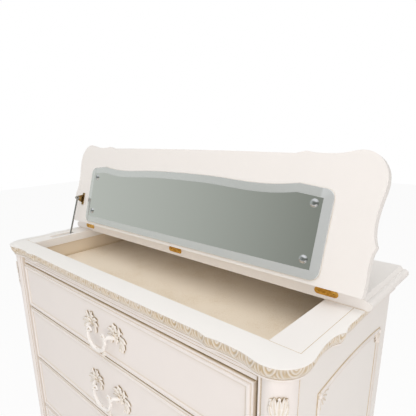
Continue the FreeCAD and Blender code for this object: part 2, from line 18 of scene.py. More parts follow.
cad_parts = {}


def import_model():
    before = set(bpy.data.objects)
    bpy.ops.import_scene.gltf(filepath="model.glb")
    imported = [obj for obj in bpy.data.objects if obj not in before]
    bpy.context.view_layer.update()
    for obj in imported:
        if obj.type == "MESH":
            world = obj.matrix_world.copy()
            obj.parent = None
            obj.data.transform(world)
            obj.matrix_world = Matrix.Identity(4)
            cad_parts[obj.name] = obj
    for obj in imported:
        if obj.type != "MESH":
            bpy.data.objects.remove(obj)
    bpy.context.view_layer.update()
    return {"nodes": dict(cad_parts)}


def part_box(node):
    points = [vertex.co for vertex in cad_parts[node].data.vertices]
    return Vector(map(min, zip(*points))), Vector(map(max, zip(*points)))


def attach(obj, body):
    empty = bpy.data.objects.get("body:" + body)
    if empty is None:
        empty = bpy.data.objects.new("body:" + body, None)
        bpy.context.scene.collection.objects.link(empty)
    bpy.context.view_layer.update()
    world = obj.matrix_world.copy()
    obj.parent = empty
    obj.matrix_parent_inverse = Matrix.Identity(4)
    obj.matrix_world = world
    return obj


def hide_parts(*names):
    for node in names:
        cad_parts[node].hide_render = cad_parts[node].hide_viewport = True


LOG = logging.getLogger("chest")
MM = 0.001
HINGE_GAP = 0.4
HOLLOW = "hollow"


def srgb(code: str) -> tuple[float, float, float, float]:
    """Turns an sRGB hex code into linear red, green, blue and alpha.

    Args:
        code: six hex digits with a leading hash.

    Returns:
        The linear colour with alpha 1.
    """
    parts = [int(code[i:i + 2], 16) / 255 for i in (1, 3, 5)]
    linear = [p / 12.92 if p <= 0.04045 else ((p + 0.055) / 1.055) ** 2.4 for p in parts]
    return (linear[0], linear[1], linear[2], 1.0)


def add(tree: bpy.types.NodeTree, kind: str, links: Optional[dict] = None,
        **settings: object) -> bpy.types.Node:
    """Adds one node with its settings and its input values or links.

    Args:
        tree: the node tree that gets the node.
        kind: the node's type name.
        links: input name or index, to a value or to another node's output socket.
        settings: plain properties of the node.

    Returns:
        The new node.
    """
    node = tree.nodes.new(kind)
    for key, value in settings.items():
        setattr(node, key, value)
    for key, value in (links or {}).items():
        if isinstance(value, bpy.types.NodeSocket):
            tree.links.new(value, node.inputs[key])
        else:
            node.inputs[key].default_value = value
    return node


# ---------------------------------------------------------------- finishes

@dataclass(frozen=True)
class Finish:
    """What every finish shares: a name and the start of its node tree."""

    name: str

    def start(self) -> tuple[bpy.types.Material, bpy.types.NodeTree, bpy.types.Node, bpy.types.NodeSocket]:
        """Makes an empty node material.

        Returns:
            The material, its tree, its shader and the object coordinates.
        """
        material = bpy.data.materials.new(self.name)
        material.use_nodes = True
        tree = material.node_tree
        tree.nodes.clear()
        shader = add(tree, "ShaderNodeBsdfPrincipled")
        add(tree, "ShaderNodeOutputMaterial", {"Surface": shader.outputs[0]})
        place = add(tree, "ShaderNodeTexCoord").outputs["Object"]
        return material, tree, shader, place


@dataclass(frozen=True)
class AntiquedPaintWithShade(Finish):
    """Sprayed off-white lacquer over wood, with a tan glaze rubbed into its hollows, and painted shade.

    The lacquer gives a soft sheen. The warm lines in the creases are partly the glaze, set by the hollow
    marks, and partly painted shade from an ambient-occlusion mask, which darkens every crease, inside corner
    and gap between separate parts.
    """

    coat: str = "#F5F0ED"
    # The glaze and deep tones are the real glaze colours, and the painted shade from the occlusion mask uses
    # them too.
    glaze: str = "#CDB995"
    deep: str = "#8A7049"
    rough: float = 0.38
    # How far the occlusion mask looks, so how wide the painted shade in creases and gaps spreads.
    reach: float = 9.0
    strength: float = 1.0

    def build(self) -> bpy.types.Material:
        """Builds the painted material."""
        material, tree, shader, place = self.start()
        stain = add(tree, "ShaderNodeTexNoise", {"Vector": place, "Scale": 1 / (55 * MM), "Detail": 3.0})
        brush = add(tree, "ShaderNodeMapping",
                    {"Vector": place, "Scale": (1 / (60 * MM), 1 / (6 * MM), 1 / (6 * MM))})
        grain = add(tree, "ShaderNodeTexNoise", {"Vector": brush.outputs[0], "Scale": 1.0, "Detail": 4.0})
        # Painted shade: ambient occlusion darkens creases, inside corners and the gaps between separate parts
        # towards the glaze tones, beside the real glaze that the hollow attribute marks.
        crease = add(tree, "ShaderNodeAmbientOcclusion", {"Distance": self.reach * MM}, samples=8)
        crease_glaze_and_shade = add(tree, "ShaderNodeMapRange",
                        {"Value": crease.outputs["AO"], "From Min": 0.35, "From Max": 0.92,
                         "To Min": 1.0, "To Max": 0.0},
                        interpolation_type="SMOOTHSTEP")
        carved = add(tree, "ShaderNodeAttribute", attribute_name=HOLLOW)
        spread = add(tree, "ShaderNodeMapRange", {"Value": stain.outputs[0], "From Min": 0.3, "From Max": 0.7,
                                                  "To Min": 0.75 * self.strength, "To Max": self.strength})
        glaze_and_shade_mask = add(tree, "ShaderNodeMath", {0: crease_glaze_and_shade.outputs[0], 1: carved.outputs["Fac"]},
                     operation="MAXIMUM")
        glaze_and_shade_amount = add(tree, "ShaderNodeMath", {0: glaze_and_shade_mask.outputs[0], 1: spread.outputs[0]},
                    operation="MULTIPLY",
                    use_clamp=True)
        ramp = add(tree, "ShaderNodeValToRGB", {"Fac": glaze_and_shade_amount.outputs[0]})
        ramp.color_ramp.elements[0].color = srgb(self.coat)
        ramp.color_ramp.elements[1].color = srgb(self.deep)
        middle = ramp.color_ramp.elements.new(0.62)
        middle.color = srgb(self.glaze)
        cloud = add(tree, "ShaderNodeMapRange", {"Value": stain.outputs[0], "To Min": 0.985, "To Max": 1.01})
        tone = add(tree, "ShaderNodeVectorMath", {0: ramp.outputs[0], "Scale": cloud.outputs[0]},
                   operation="SCALE")
        rough = add(tree, "ShaderNodeMapRange", {"Value": grain.outputs[0], "To Min": self.rough - 0.05,
                                                 "To Max": self.rough + 0.07})
        bump = add(tree, "ShaderNodeBump",
                   {"Height": grain.outputs[0], "Strength": 0.12, "Distance": 0.05 * MM})
        tree.links.new(tone.outputs[0], shader.inputs["Base Color"])
        tree.links.new(rough.outputs[0], shader.inputs["Roughness"])
        tree.links.new(bump.outputs[0], shader.inputs["Normal"])
        shader.inputs["IOR"].default_value = 1.48
        shader.inputs["Specular IOR Level"].default_value = 0.4
        return material


@dataclass(frozen=True)
class BareWood(Finish):
    """Sanded pine of the drawer boxes and the back: pale rings drawn out along the board."""

    light: str = "#DDC9A9"
    dark: str = "#CBAE84"
    along: tuple[float, float, float] = (60.0, 2.0, 2.0)

    def build(self) -> bpy.types.Material:
        """Builds the bare wood material."""
        material, tree, shader, place = self.start()
        scale = tuple(1 / (size * 5 * MM) for size in self.along)
        drawn = add(tree, "ShaderNodeMapping", {"Vector": place, "Scale": scale})
        rings = add(tree, "ShaderNodeTexNoise", {"Vector": drawn.outputs[0], "Scale": 1.0, "Detail": 6.0,
                                                 "Distortion": 0.6})
        pores = add(tree, "ShaderNodeTexNoise", {"Vector": drawn.outputs[0], "Scale": 9.0, "Detail": 3.0})
        ramp = add(tree, "ShaderNodeValToRGB", {"Fac": rings.outputs[0]})
        ramp.color_ramp.elements[0].color = srgb(self.dark)
        ramp.color_ramp.elements[0].position = 0.3
        ramp.color_ramp.elements[1].color = srgb(self.light)
        ramp.color_ramp.elements[1].position = 0.68
        bump = add(tree, "ShaderNodeBump",
                   {"Height": pores.outputs[0], "Strength": 0.2, "Distance": 0.1 * MM})
        tree.links.new(ramp.outputs[0], shader.inputs["Base Color"])
        tree.links.new(bump.outputs[0], shader.inputs["Normal"])
        shader.inputs["Roughness"].default_value = 0.62
        return material


@dataclass(frozen=True)
class NappedFelt(Finish):
    """Flocked lining cloth: a warm cream with a fine matted nap, drawn at 2 mm so that it shows."""

    pile: str = "#F0E3CF"
    shade: str = "#DECAAB"

    def build(self) -> bpy.types.Material:
        """Builds the felt material."""
        material, tree, shader, place = self.start()
        nap = add(tree, "ShaderNodeTexNoise", {"Vector": place, "Scale": 1 / (2 * MM), "Detail": 5.0})
        patch = add(tree, "ShaderNodeTexNoise", {"Vector": place, "Scale": 1 / (90 * MM), "Detail": 2.0})
        both = add(tree, "ShaderNodeMath", {0: nap.outputs[0], 1: patch.outputs[0]}, operation="ADD")
        ramp = add(tree, "ShaderNodeValToRGB", {"Fac": both.outputs[0]})
        ramp.color_ramp.elements[0].color = srgb(self.shade)
        ramp.color_ramp.elements[0].position = 0.55
        ramp.color_ramp.elements[1].color = srgb(self.pile)
        bump = add(tree, "ShaderNodeBump", {"Height": nap.outputs[0], "Strength": 0.5, "Distance": 0.4 * MM})
        tree.links.new(ramp.outputs[0], shader.inputs["Base Color"])
        tree.links.new(bump.outputs[0], shader.inputs["Normal"])
        shader.inputs["Roughness"].default_value = 0.95
        shader.inputs["Sheen Weight"].default_value = 0.35
        shader.inputs["Sheen Roughness"].default_value = 0.5
        return material


@dataclass(frozen=True)
class Metal(Finish):
    """A metal surface: its colour, how rough it is, and how fine its wear marks are."""

    colour: str = "#C8C9CC"
    worn: str = "#9A9B9E"
    rough: float = 0.2
    mark: float = 1.5
    spread: float = 0.08

    def build(self) -> bpy.types.Material:
        """Builds the metal material."""
        material, tree, shader, place = self.start()
        wear = add(tree, "ShaderNodeTexNoise",
                   {"Vector": place, "Scale": 1 / (self.mark * 4 * MM), "Detail": 4.0})
        fine = add(tree, "ShaderNodeTexNoise",
                   {"Vector": place, "Scale": 1 / (self.mark * MM), "Detail": 2.0})
        ramp = add(tree, "ShaderNodeValToRGB", {"Fac": wear.outputs[0]})
        ramp.color_ramp.elements[0].color = srgb(self.worn)
        ramp.color_ramp.elements[0].position = 0.25
        ramp.color_ramp.elements[1].color = srgb(self.colour)
        ramp.color_ramp.elements[1].position = 0.6
        rough = add(tree, "ShaderNodeMapRange",
                    {"Value": fine.outputs[0], "To Min": max(self.rough - self.spread, 0.02),
                     "To Max": self.rough + self.spread})
        tree.links.new(ramp.outputs[0], shader.inputs["Base Color"])
        tree.links.new(rough.outputs[0], shader.inputs["Roughness"])
        shader.inputs["Metallic"].default_value = 1.0
        return material


@dataclass(frozen=True)
class SilveredGlass(Finish):
    """Float glass silvered on its back: a sharp reflection with the green-grey of the glass."""

    colour: str = "#F4F5F3"
    # Painted reflection: the pale tone that the bevel is lightened towards.
    edge: str = "#E6EAEC"

    def build(self) -> bpy.types.Material:
        """Builds the mirror material; the hollow attribute marks the ground bevel, which it lightens as a
        painted reflection.
        """
        material, tree, shader, place = self.start()
        dust = add(tree, "ShaderNodeTexNoise", {"Vector": place, "Scale": 1 / (30 * MM), "Detail": 3.0})
        bevel = add(tree, "ShaderNodeAttribute", attribute_name=HOLLOW)
        mix = add(tree, "ShaderNodeMix",
                  {"Factor": bevel.outputs["Fac"], 6: srgb(self.colour), 7: srgb(self.edge)},
                  data_type="RGBA")
        rough = add(tree, "ShaderNodeMapRange", {"Value": dust.outputs[0], "To Min": 0.015, "To Max": 0.05})
        # Painted reflection on the bevel: less metal there lets the pale edge tone show as a light band.
        silver = add(tree, "ShaderNodeMapRange",
                     {"Value": bevel.outputs["Fac"], "To Min": 1.0, "To Max": 0.42})
        tree.links.new(silver.outputs[0], shader.inputs["Metallic"])
        tree.links.new(mix.outputs[2], shader.inputs["Base Color"])
        tree.links.new(rough.outputs[0], shader.inputs["Roughness"])
        return material


class Finishes:
    """Every material of the chest, built once."""

    def __init__(self) -> None:
        """Builds the materials."""
        # Each paint below also carries the painted shade of the occlusion mask in its creases, corners and
        # gaps.
        self.paint = AntiquedPaintWithShade("antiqued_lacquer_with_painted_shade", reach=5.0, strength=0.8).build()
        self.plain = AntiquedPaintWithShade("plain_lacquer", coat="#F4F1EE", reach=4.0, strength=0.55,
                                   glaze="#D9CBB4", deep="#B49C78").build()
        self.carved = AntiquedPaintWithShade("glazed_carving_with_painted_shade", coat="#F3F1EE", glaze="#C8B28C", deep="#9A7F56",
                                    reach=2.5).build()
        self.cast = AntiquedPaintWithShade("painted_casting", coat="#F8F5F2", glaze="#DDCFB6", deep="#A0875C",
                                  reach=4.0,
                                  rough=0.26, strength=0.8).build()
        # The compartment walls keep their own cream; the long 14 mm occlusion reach paints shade deep into
        # the compartment's corners and joints.
        self.wall = AntiquedPaintWithShade("stained_wall", coat="#EBDCC6", glaze="#D3BF9F", deep="#8F7350", reach=14.0,
                                  strength=0.8).build()
        self.wood = BareWood("sanded_pine").build()
        self.felt = NappedFelt("flocked_lining").build()
        self.brass = Metal("lacquered_brass", colour="#E8B75A", worn="#A9742A", rough=0.24).build()
        self.screw = Metal("dark_screws", colour="#5E3A1C", worn="#38220F", rough=0.5).build()
        self.aged = Metal("aged_brass", colour="#B39460", worn="#6E5636", rough=0.4).build()
        self.steel = Metal("drawn_steel", colour="#D4D4D4", worn="#A6A6A6", rough=0.3).build()
        self.chrome = Metal("polished_chrome", colour="#DADCDF", worn="#B9BBBF", rough=0.07,
                            spread=0.04).build()
        self.mirror = SilveredGlass("silvered_glass").build()


# ---------------------------------------------------------------- geometry helpers

Points = np.ndarray


def spline(points: Sequence[Sequence[float]], step: float) -> Points:
    """Samples a natural cubic spline through the points.

    Args:
        points: the points, in two or three dimensions.
        step: the wanted distance between samples.

    Returns:
        The samples, the two ends included.
    """
    p = np.asarray(points, float)
    t = np.concatenate([[0], np.cumsum(np.linalg.norm(np.diff(p, axis=0), axis=1))])
    n = len(p)
    h = np.diff(t)
    a = np.eye(n)
    b = np.zeros_like(p)
    for i in range(1, n - 1):
        a[i, i - 1:i + 2] = (h[i - 1], 2 * (h[i - 1] + h[i]), h[i])
        b[i] = 6 * ((p[i + 1] - p[i]) / h[i] - (p[i] - p[i - 1]) / h[i - 1])
    m = np.linalg.solve(a, b)
    u = np.linspace(0, t[-1], max(2, int(round(t[-1] / step)) + 1))
    k = np.clip(np.searchsorted(t, u, side="right") - 1, 0, n - 2)
    d = (u - t[k])[:, None]
    e = (t[k + 1] - u)[:, None]
    hk = h[k][:, None]
    return (m[k] * e ** 3 / (6 * hk) + m[k + 1] * d ** 3 / (6 * hk) + (p[k] / hk - m[k] * hk / 6) * e
            + (p[k + 1] / hk - m[k + 1] * hk / 6) * d)


def outward(path: Points) -> Points:
    """Unit normals of an XY path, to the right of its direction."""
    d = np.gradient(path, axis=0)
    d /= np.linalg.norm(d, axis=1)[:, None] + 1e-12
    return np.stack([d[:, 1], -d[:, 0]], axis=1)


def smoothstep(low: float, high: float, value: Points) -> Points:
    """Smooth step from 0 at low to 1 at high."""
    t = np.clip((value - low) / (high - low), 0, 1)
    return t * t * (3 - 2 * t)


@dataclass
class Place:
    """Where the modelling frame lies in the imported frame."""

    hinge_y: float
    top_z: float
    lid_angle: float = 106.5
    board: float = 22.0

    def rest(self, points: Points) -> Points:
        """Millimetres from the hinge line and frame top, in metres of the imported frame."""
        p = np.asarray(points, float) * MM
        return p + np.array([0, self.hinge_y, self.top_z])

    def lid(self, points: Points) -> Points:
        """Points of the shut lid, swung to the open pose, in metres."""
        p = np.asarray(points, float).copy()
        a = math.radians(-self.lid_angle)
        y, z = p[:, 1].copy(), p[:, 2] - self.board
        p[:, 1] = y * math.cos(a) - z * math.sin(a)
        p[:, 2] = y * math.sin(a) + z * math.cos(a) + self.board
        return self.rest(p)


class Body(Enum):
    """The bodies that the dressed pieces ride on."""

    CARCASS = "carcass"
    LID = "lid"

    @staticmethod
    def drawer(number: int) -> str:
        """The body name of one drawer."""
        return "drawer_%d" % number


@dataclass
class Shell:
    """Collects the points, faces and hollow marks of one mesh."""

    points: list = field(default_factory=list)
    faces: list = field(default_factory=list)
    hollows: list = field(default_factory=list)
    count: int = 0

    def put(self, points: Points, hollow: Optional[Points] = None) -> int:
        """Adds points.

        Args:
            points: rows of x, y, z.
            hollow: how deep in a hollow each one lies, from 0 to 1.

        Returns:
            The number of the first one.
        """
        start = self.count
        self.points.append(np.asarray(points, float).reshape(-1, 3))
        size = len(self.points[-1])
        self.hollows.append(np.zeros(size) if hollow is None else np.asarray(hollow, float).reshape(-1))
        self.count += size
        return start

    def skin(self, rows: Points, around: bool = False, caps: bool = False,
             hollow: Optional[Points] = None) -> None:
        """Joins rows of points with four-sided faces.

        Args:
            rows: an array of rows, points and x, y, z.
            around: whether each row is a closed ring.
            caps: whether the first and last rings are closed with a face.
            hollow: an array of rows and points.
        """
        rows = np.asarray(rows, float)
        n, m = rows.shape[:2]
        start = self.put(rows.reshape(-1, 3), None if hollow is None else np.asarray(hollow).reshape(-1))
        last = m if around else m - 1
        for i in range(n - 1):
            for j in range(last):
                k = (j + 1) % m
                self.faces.append((start + i * m + j, start + i * m + k, start + (i + 1) * m + k,
                                   start + (i + 1) * m + j))
        if caps:
            self.faces.append(tuple(start + j for j in range(m))[::-1])
            self.faces.append(tuple(start + (n - 1) * m + j for j in range(m)))

    def piece(self, name: str, material: bpy.types.Material, turn: Callable[[Points], Points],
              crease: float = 38.0, merge: float = 2e-6) -> bpy.types.Object:
        """Makes the mesh object.

        Args:
            name: the object's name.
            material: its finish.
            turn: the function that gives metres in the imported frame.
            crease: the angle in degrees past which an edge stays sharp.
            merge: the distance in metres within which points are joined.

        Returns:
            The new object at the origin.
        """
        mesh = bpy.data.meshes.new(name)
        mesh.from_pydata(turn(np.concatenate(self.points)).tolist(), [], self.faces)
        mark = mesh.attributes.new(HOLLOW, "FLOAT", "POINT")
        mark.data.foreach_set("value", np.concatenate(self.hollows))
        work = bmesh.new()
        work.from_mesh(mesh)
        bmesh.ops.remove_doubles(work, verts=work.verts, dist=merge)
        bmesh.ops.dissolve_degenerate(work, edges=work.edges, dist=merge)
        bmesh.ops.recalc_face_normals(work, faces=work.faces)
        bmesh.ops.triangulate(work, faces=[f for f in work.faces if len(f.verts) > 4])
        work.to_mesh(mesh)
        work.free()
        mesh.shade_smooth()
        mesh.set_sharp_from_angle(angle=math.radians(crease))
        mesh.materials.append(material)
        made = bpy.data.objects.new(name, mesh)
        bpy.context.scene.collection.objects.link(made)
        LOG.info("%s: %d faces", name, len(mesh.polygons))
        return made


def tube(path: Points, radii: Points, sides: int = 12, flat: float = 1.0) -> Points:
    """Rings of points round a path.

    Args:
        path: points along the middle line.
        radii: the radius at each point.
        sides: points in each ring.
        flat: how much the section is squeezed across the path's own plane.

    Returns:
        An array of rings, points and x, y, z.
    """
    path = np.asarray(path, float)
    d = np.gradient(path, axis=0)
    d /= np.linalg.norm(d, axis=1)[:, None] + 1e-12
    side = np.array([0.0, 1.0, 0.0])
    rings = []
    for point, way, radius in zip(path, d, radii):
        a = np.cross(way, side)
        a /= np.linalg.norm(a) + 1e-12
        b = np.cross(way, a)
        t = np.linspace(0, 2 * math.pi, sides, endpoint=False)[:, None]
        rings.append(point + radius * (np.cos(t) * a + np.sin(t) * b * flat))
    return np.array(rings)


def rule_tree(name: str, sizes: dict[str, float], build: Callable) -> bpy.types.NodeTree:
    """A Geometry Nodes tree with named sizes and a material.

    Args:
        name: the tree's name.
        sizes: input names with their values, in metres or plain numbers.
        build: takes the tree and the group input, and returns the geometry socket to finish.

    Returns:
        The tree, which ends in Realize Instances and Set Material.
    """
    tree = bpy.data.node_groups.new(name, "GeometryNodeTree")
    tree.interface.new_socket("Geometry", in_out="INPUT", socket_type="NodeSocketGeometry")
    for label, value in sizes.items():
        tree.interface.new_socket(label, in_out="INPUT", socket_type="NodeSocketFloat").default_value = value
    tree.interface.new_socket("Finish", in_out="INPUT", socket_type="NodeSocketMaterial")
    tree.interface.new_socket("Geometry", in_out="OUTPUT", socket_type="NodeSocketGeometry")
    given = add(tree, "NodeGroupInput")
    real = add(tree, "GeometryNodeRealizeInstances", {0: build(tree, given)})
    done = add(tree, "GeometryNodeSetMaterial", {0: real.outputs[0], "Material": given.outputs["Finish"]})
    add(tree, "NodeGroupOutput", {0: done.outputs[0]})
    return tree


def run_tree(name: str, base: bpy.types.Object, tree: bpy.types.NodeTree, finish: bpy.types.Material) -> None:
    """Runs a Geometry Nodes tree on an object and keeps the plain mesh.

    Args:
        name: the new mesh's name.
        base: the object that carries the modifier; its mesh is replaced.
        tree: the node tree.
        finish: the material for the Finish input.
    """
    modifier = base.modifiers.new(name, "NODES")
    modifier.node_group = tree
    for item in tree.interface.items_tree:
        if item.item_type == "SOCKET" and item.in_out == "INPUT" and item.name == "Finish":
            modifier[item.identifier] = finish
    bpy.context.view_layer.update()
    result = bpy.data.meshes.new_from_object(base.evaluated_get(bpy.context.evaluated_depsgraph_get()))
    base.modifiers.remove(modifier)
    base.data = result
    result.name = name


# ---------------------------------------------------------------- the top

@dataclass
class TopPlan:
    """The serpentine plan that the frame, cornice and lid share."""

    half: float = 450.0
    reach: float = 234.0
    swell: float = 6.4
    ear: float = 5.0
    back: float = 200.0
    step: float = 1.1

    def quarter(self) -> Points:
        """The right half, from the middle of the front to the back."""
        half, reach, swell, ear = self.half, self.reach, self.swell, self.ear
        kink = [(half - 165, reach - 2), (half - 144, reach + 3)]
        shoulder = [(half - 144, reach + 3), (half - 125, reach), (half - 98, reach - 0.8),
                    (half - 73, reach + 1.2),
                    (half - 46, reach + swell), (half - 31, reach + swell - 2.1), (half - 18, reach - 2.5),
                    (half - 6, reach - 16), (half + 1, reach - 33), (half + 2, reach - 51),
                    (half - 0.5, reach - 70),
                    (half - 3, reach - 92), (half - 3, reach - 119), (half, reach - 136),
                    (half + ear, reach - 148)]
        waist = [(half + ear, reach - 148), (half + 1, reach - 164), (half + 0.5, reach - 194), (half, 0)]
        bow = half - 165
        front = [(x, reach - 2 * (x / bow) ** 2) for x in np.linspace(0, bow, 8)]
        runs = [spline(front, self.step), spline(kink, self.step), spline(shoulder, self.step),
                spline(waist, self.step), spline([(half, 0), (half, -self.back)], self.step)]
        path = np.concatenate([run if i == 0 else run[1:] for i, run in enumerate(runs)])
        return path * np.array([1, -1])

    def whole(self) -> Points:
        """The full path from the back left round the front to the back right."""
        right = self.quarter()
        left = right[::-1] * np.array([-1, 1])
        return np.concatenate([left[:-1], right])

    def shrunk(self, path: Points, inset: float) -> Points:
        """The path moved towards the middle by inset."""
        return path * np.array([1 - inset / (self.half + self.ear), 1 - inset / self.reach])


@dataclass
class Carving:
    """Leaf carving cut into the edge of the top.

    Fans stand at the corners, with slanted flutes and small fans between them.
    """

    depth: float = 2.4
    pitch: float = 31.0
    fan: float = 15.0
    small_fan: float = 10.5
    flute: float = 5.6
    round_power: float = 1.65
    corner: float = 455.0

    def relief(self, s: Points, v: Points) -> tuple[Points, Points]:
        """How far the carving stands out.

        Args:
            s: distance along the edge from the middle of the front.
            v: height share, 0 at the foot of the carving and 1 at its top.

        Returns:
            The height from 0 to 1, and how hollow it is from 0 to 1.
        """
        s = np.abs(s)
        away = s - self.corner
        cell = np.mod(np.abs(away) - self.fan, self.pitch)
        sign = np.sign(away)
        lean = cell / self.flute + 1.3 * (1 - v) - 0.35 * np.sin(math.pi * v)
        flutes = 0.5 + 0.5 * np.cos(2 * math.pi * lean)
        shape = np.sin(math.pi * np.clip(v, 0, 1)) ** 0.45
        height = flutes * shape

        def fans(du: Points, wide: float, rings: float) -> tuple[Points, Points]:
            """Nested leaves that open upwards: their height and where they rule."""
            power = self.round_power
            rho = (np.abs(du / wide) ** power + np.abs(1.02 - v) ** power) ** (1 / power)
            ridge = 0.5 + 0.5 * np.cos(2 * math.pi * rings * rho + math.pi)
            return ridge * (0.6 + 0.4 * (1 - smoothstep(0.9, 1.1, rho))), 1 - smoothstep(0.93, 1.1, rho)

        small, rule = fans(cell - self.pitch + self.small_fan, self.small_fan, 2.0)
        height = height * (1 - rule) + small * rule
        large, rule = fans(away, self.fan, 3.0)
        near = (np.abs(away) < self.fan) * 1.0
        height = height * (1 - near) + near * (large * rule + 0.35 * height * (1 - rule))
        height = height * (0.97 + 0.03 * sign)
        return height, 1 - height


@dataclass
class TopFrame:
    """The boards round the compartment, with the carved edge."""

    plan: TopPlan
    carving: Carving
    place: Place
    finishes: Finishes
    thick: float = 22.0
    lip: float = 1.6
    waist: float = 2.4
    foot_inset: float = 6.5
    opening_front: float = 183.5
    opening_half: float = 381.6
    joint_x: float = 432.0
    rows: int = 18

    def profile(self) -> list[tuple[float, float, float]]:
        """Rows of the edge: height, inset and how much of the carving shows."""
        rows = [(0.0, 0.9, 0.0), (-0.2, 0.3, 0.0), (-0.7, 0.1, 0.0), (-self.lip, 0.8, 0.0)]
        low = 1.2 - self.thick
        for i in range(self.rows + 1):
            t = i / self.rows
            z = -self.lip - 0.2 + t * (low + self.lip + 0.2)
            gain = math.sin(math.pi * min(max(t, 0.02), 0.98)) ** 0.3
            rows.append((z, self.waist + (self.foot_inset - self.waist) * t ** 1.3, gain))
        return rows + [(-self.thick, self.foot_inset + 0.6, 0.0)]

    def board(self, name: str, part: Points, s: Points, closing: Sequence[Sequence[float]],
              nodes: Sequence[str]) -> None:
        """One board of the frame.

        Args:
            name: the new piece's name.
            part: the stretch of the plan along this board's outer edge.
            s: distances along the plan for those points.
            closing: corner points of the board's inner side, in the path's order.
            nodes: the CAD nodes that it stands for.
        """
        shell = Shell()
        rings, marks = [], []
        for z, inset, gain in self.profile():
            path = self.plan.shrunk(part, inset)
            v = np.full(len(s), (z + self.thick) / (self.thick - self.lip))
            height, hollow = self.carving.relief(s, v)
            path = path + outward(path) * (height * gain * self.carving.depth)[:, None]
            rings.append(np.column_stack([path, np.full(len(path), z)]))
            marks.append(gain * (0.16 + 0.52 * hollow) if gain else np.full(len(s), 0.0))
        rings, marks = np.array(rings), np.array(marks)
        shell.skin(rings, hollow=marks)
        top = np.array([(x, y, 0.0) for x, y in closing])
        low = top - np.array([0, 0, self.thick])
        m = len(s)
        t0, b0 = shell.put(top), shell.put(low)
        last = (len(rings) - 1) * m
        k = len(closing)
        shell.faces.append(tuple(range(m)) + tuple(t0 + i for i in range(k - 1, -1, -1)))
        shell.faces.append(tuple(last + i for i in range(m)) + tuple(b0 + i for i in range(k - 1, -1, -1)))
        for i in range(k - 1):
            shell.faces.append((t0 + i, t0 + i + 1, b0 + i + 1, b0 + i))
        for column, edge in ((0, 0), (m - 1, k - 1)):
            shell.faces.append(tuple(i * m + column for i in range(len(rings))) + (b0 + edge, t0 + edge))
        made = shell.piece(name, self.finishes.carved, self.place.rest, crease=48)
        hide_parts(*nodes)
        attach(made, Body.CARCASS.value)

    def build(self) -> None:
        """Makes the front board and the two edgings."""
        path = self.plan.whole()
        d = np.concatenate([[0], np.cumsum(np.linalg.norm(np.diff(path, axis=0), axis=1))])
        s = d - d[-1] / 2
        front = path[:, 1] < -self.opening_front
        cut = -self.opening_front
        ends = [np.array([path[front][0][0], cut]), np.array([path[front][-1][0], cut])]
        part = np.concatenate([[ends[0]], path[front], [ends[1]]])
        at = np.concatenate([[s[front][0] - 0.5], s[front], [s[front][-1] + 0.5]])
        self.board("carved_front_board", part, at, [(-self.joint_x, cut), (self.joint_x, cut)],
                   ["frame_front_rail"])
        for side, label in ((1, "right"), (-1, "left")):
            rest = (~front) & (np.sign(path[:, 0]) == side)
            edge, along = path[rest], s[rest]
            if side == 1:
                edge, along = np.concatenate([[ends[1]], edge]), np.concatenate([[at[-1]], along])
                corners = [(self.joint_x, cut), (self.joint_x, self.plan.back)]
            else:
                edge, along = np.concatenate([edge, [ends[0]]]), np.concatenate([along, [at[0]]])
                corners = [(-self.joint_x, self.plan.back), (-self.joint_x, cut)]
            self.board("carved_%s_edging" % label, edge, along, corners, ["frame_%s_edging" % label])
        self.joints()

    def joints(self) -> None:
        """The glaze that has settled in the joints between the frame's boards."""
        shell = Shell()
        wide, high = 0.35, 0.06
        lines = [((side * self.joint_x, -self.opening_front), (side * self.joint_x, -1.0))
                 for side in (-1, 1)]
        lines += [((side * self.opening_half, -self.opening_front),
                   (side * self.joint_x, -self.opening_front))
                  for side in (-1, 1)]
        for first, last in lines:
            a, b = np.array(first), np.array(last)
            side = wide * np.array([-(b - a)[1], (b - a)[0]]) / np.linalg.norm(b - a)
            rows = [[(*(p - side), high), (*(p + side), high), (*(p + side), -0.4), (*(p - side), -0.4)]
                    for p in (a, b)]
            shell.skin(np.array(rows), around=True, caps=True, hollow=np.full((2, 4), 0.75))
        made = shell.piece("frame_joint_lines", self.finishes.carved, self.place.rest)
        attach(made, Body.CARCASS.value)


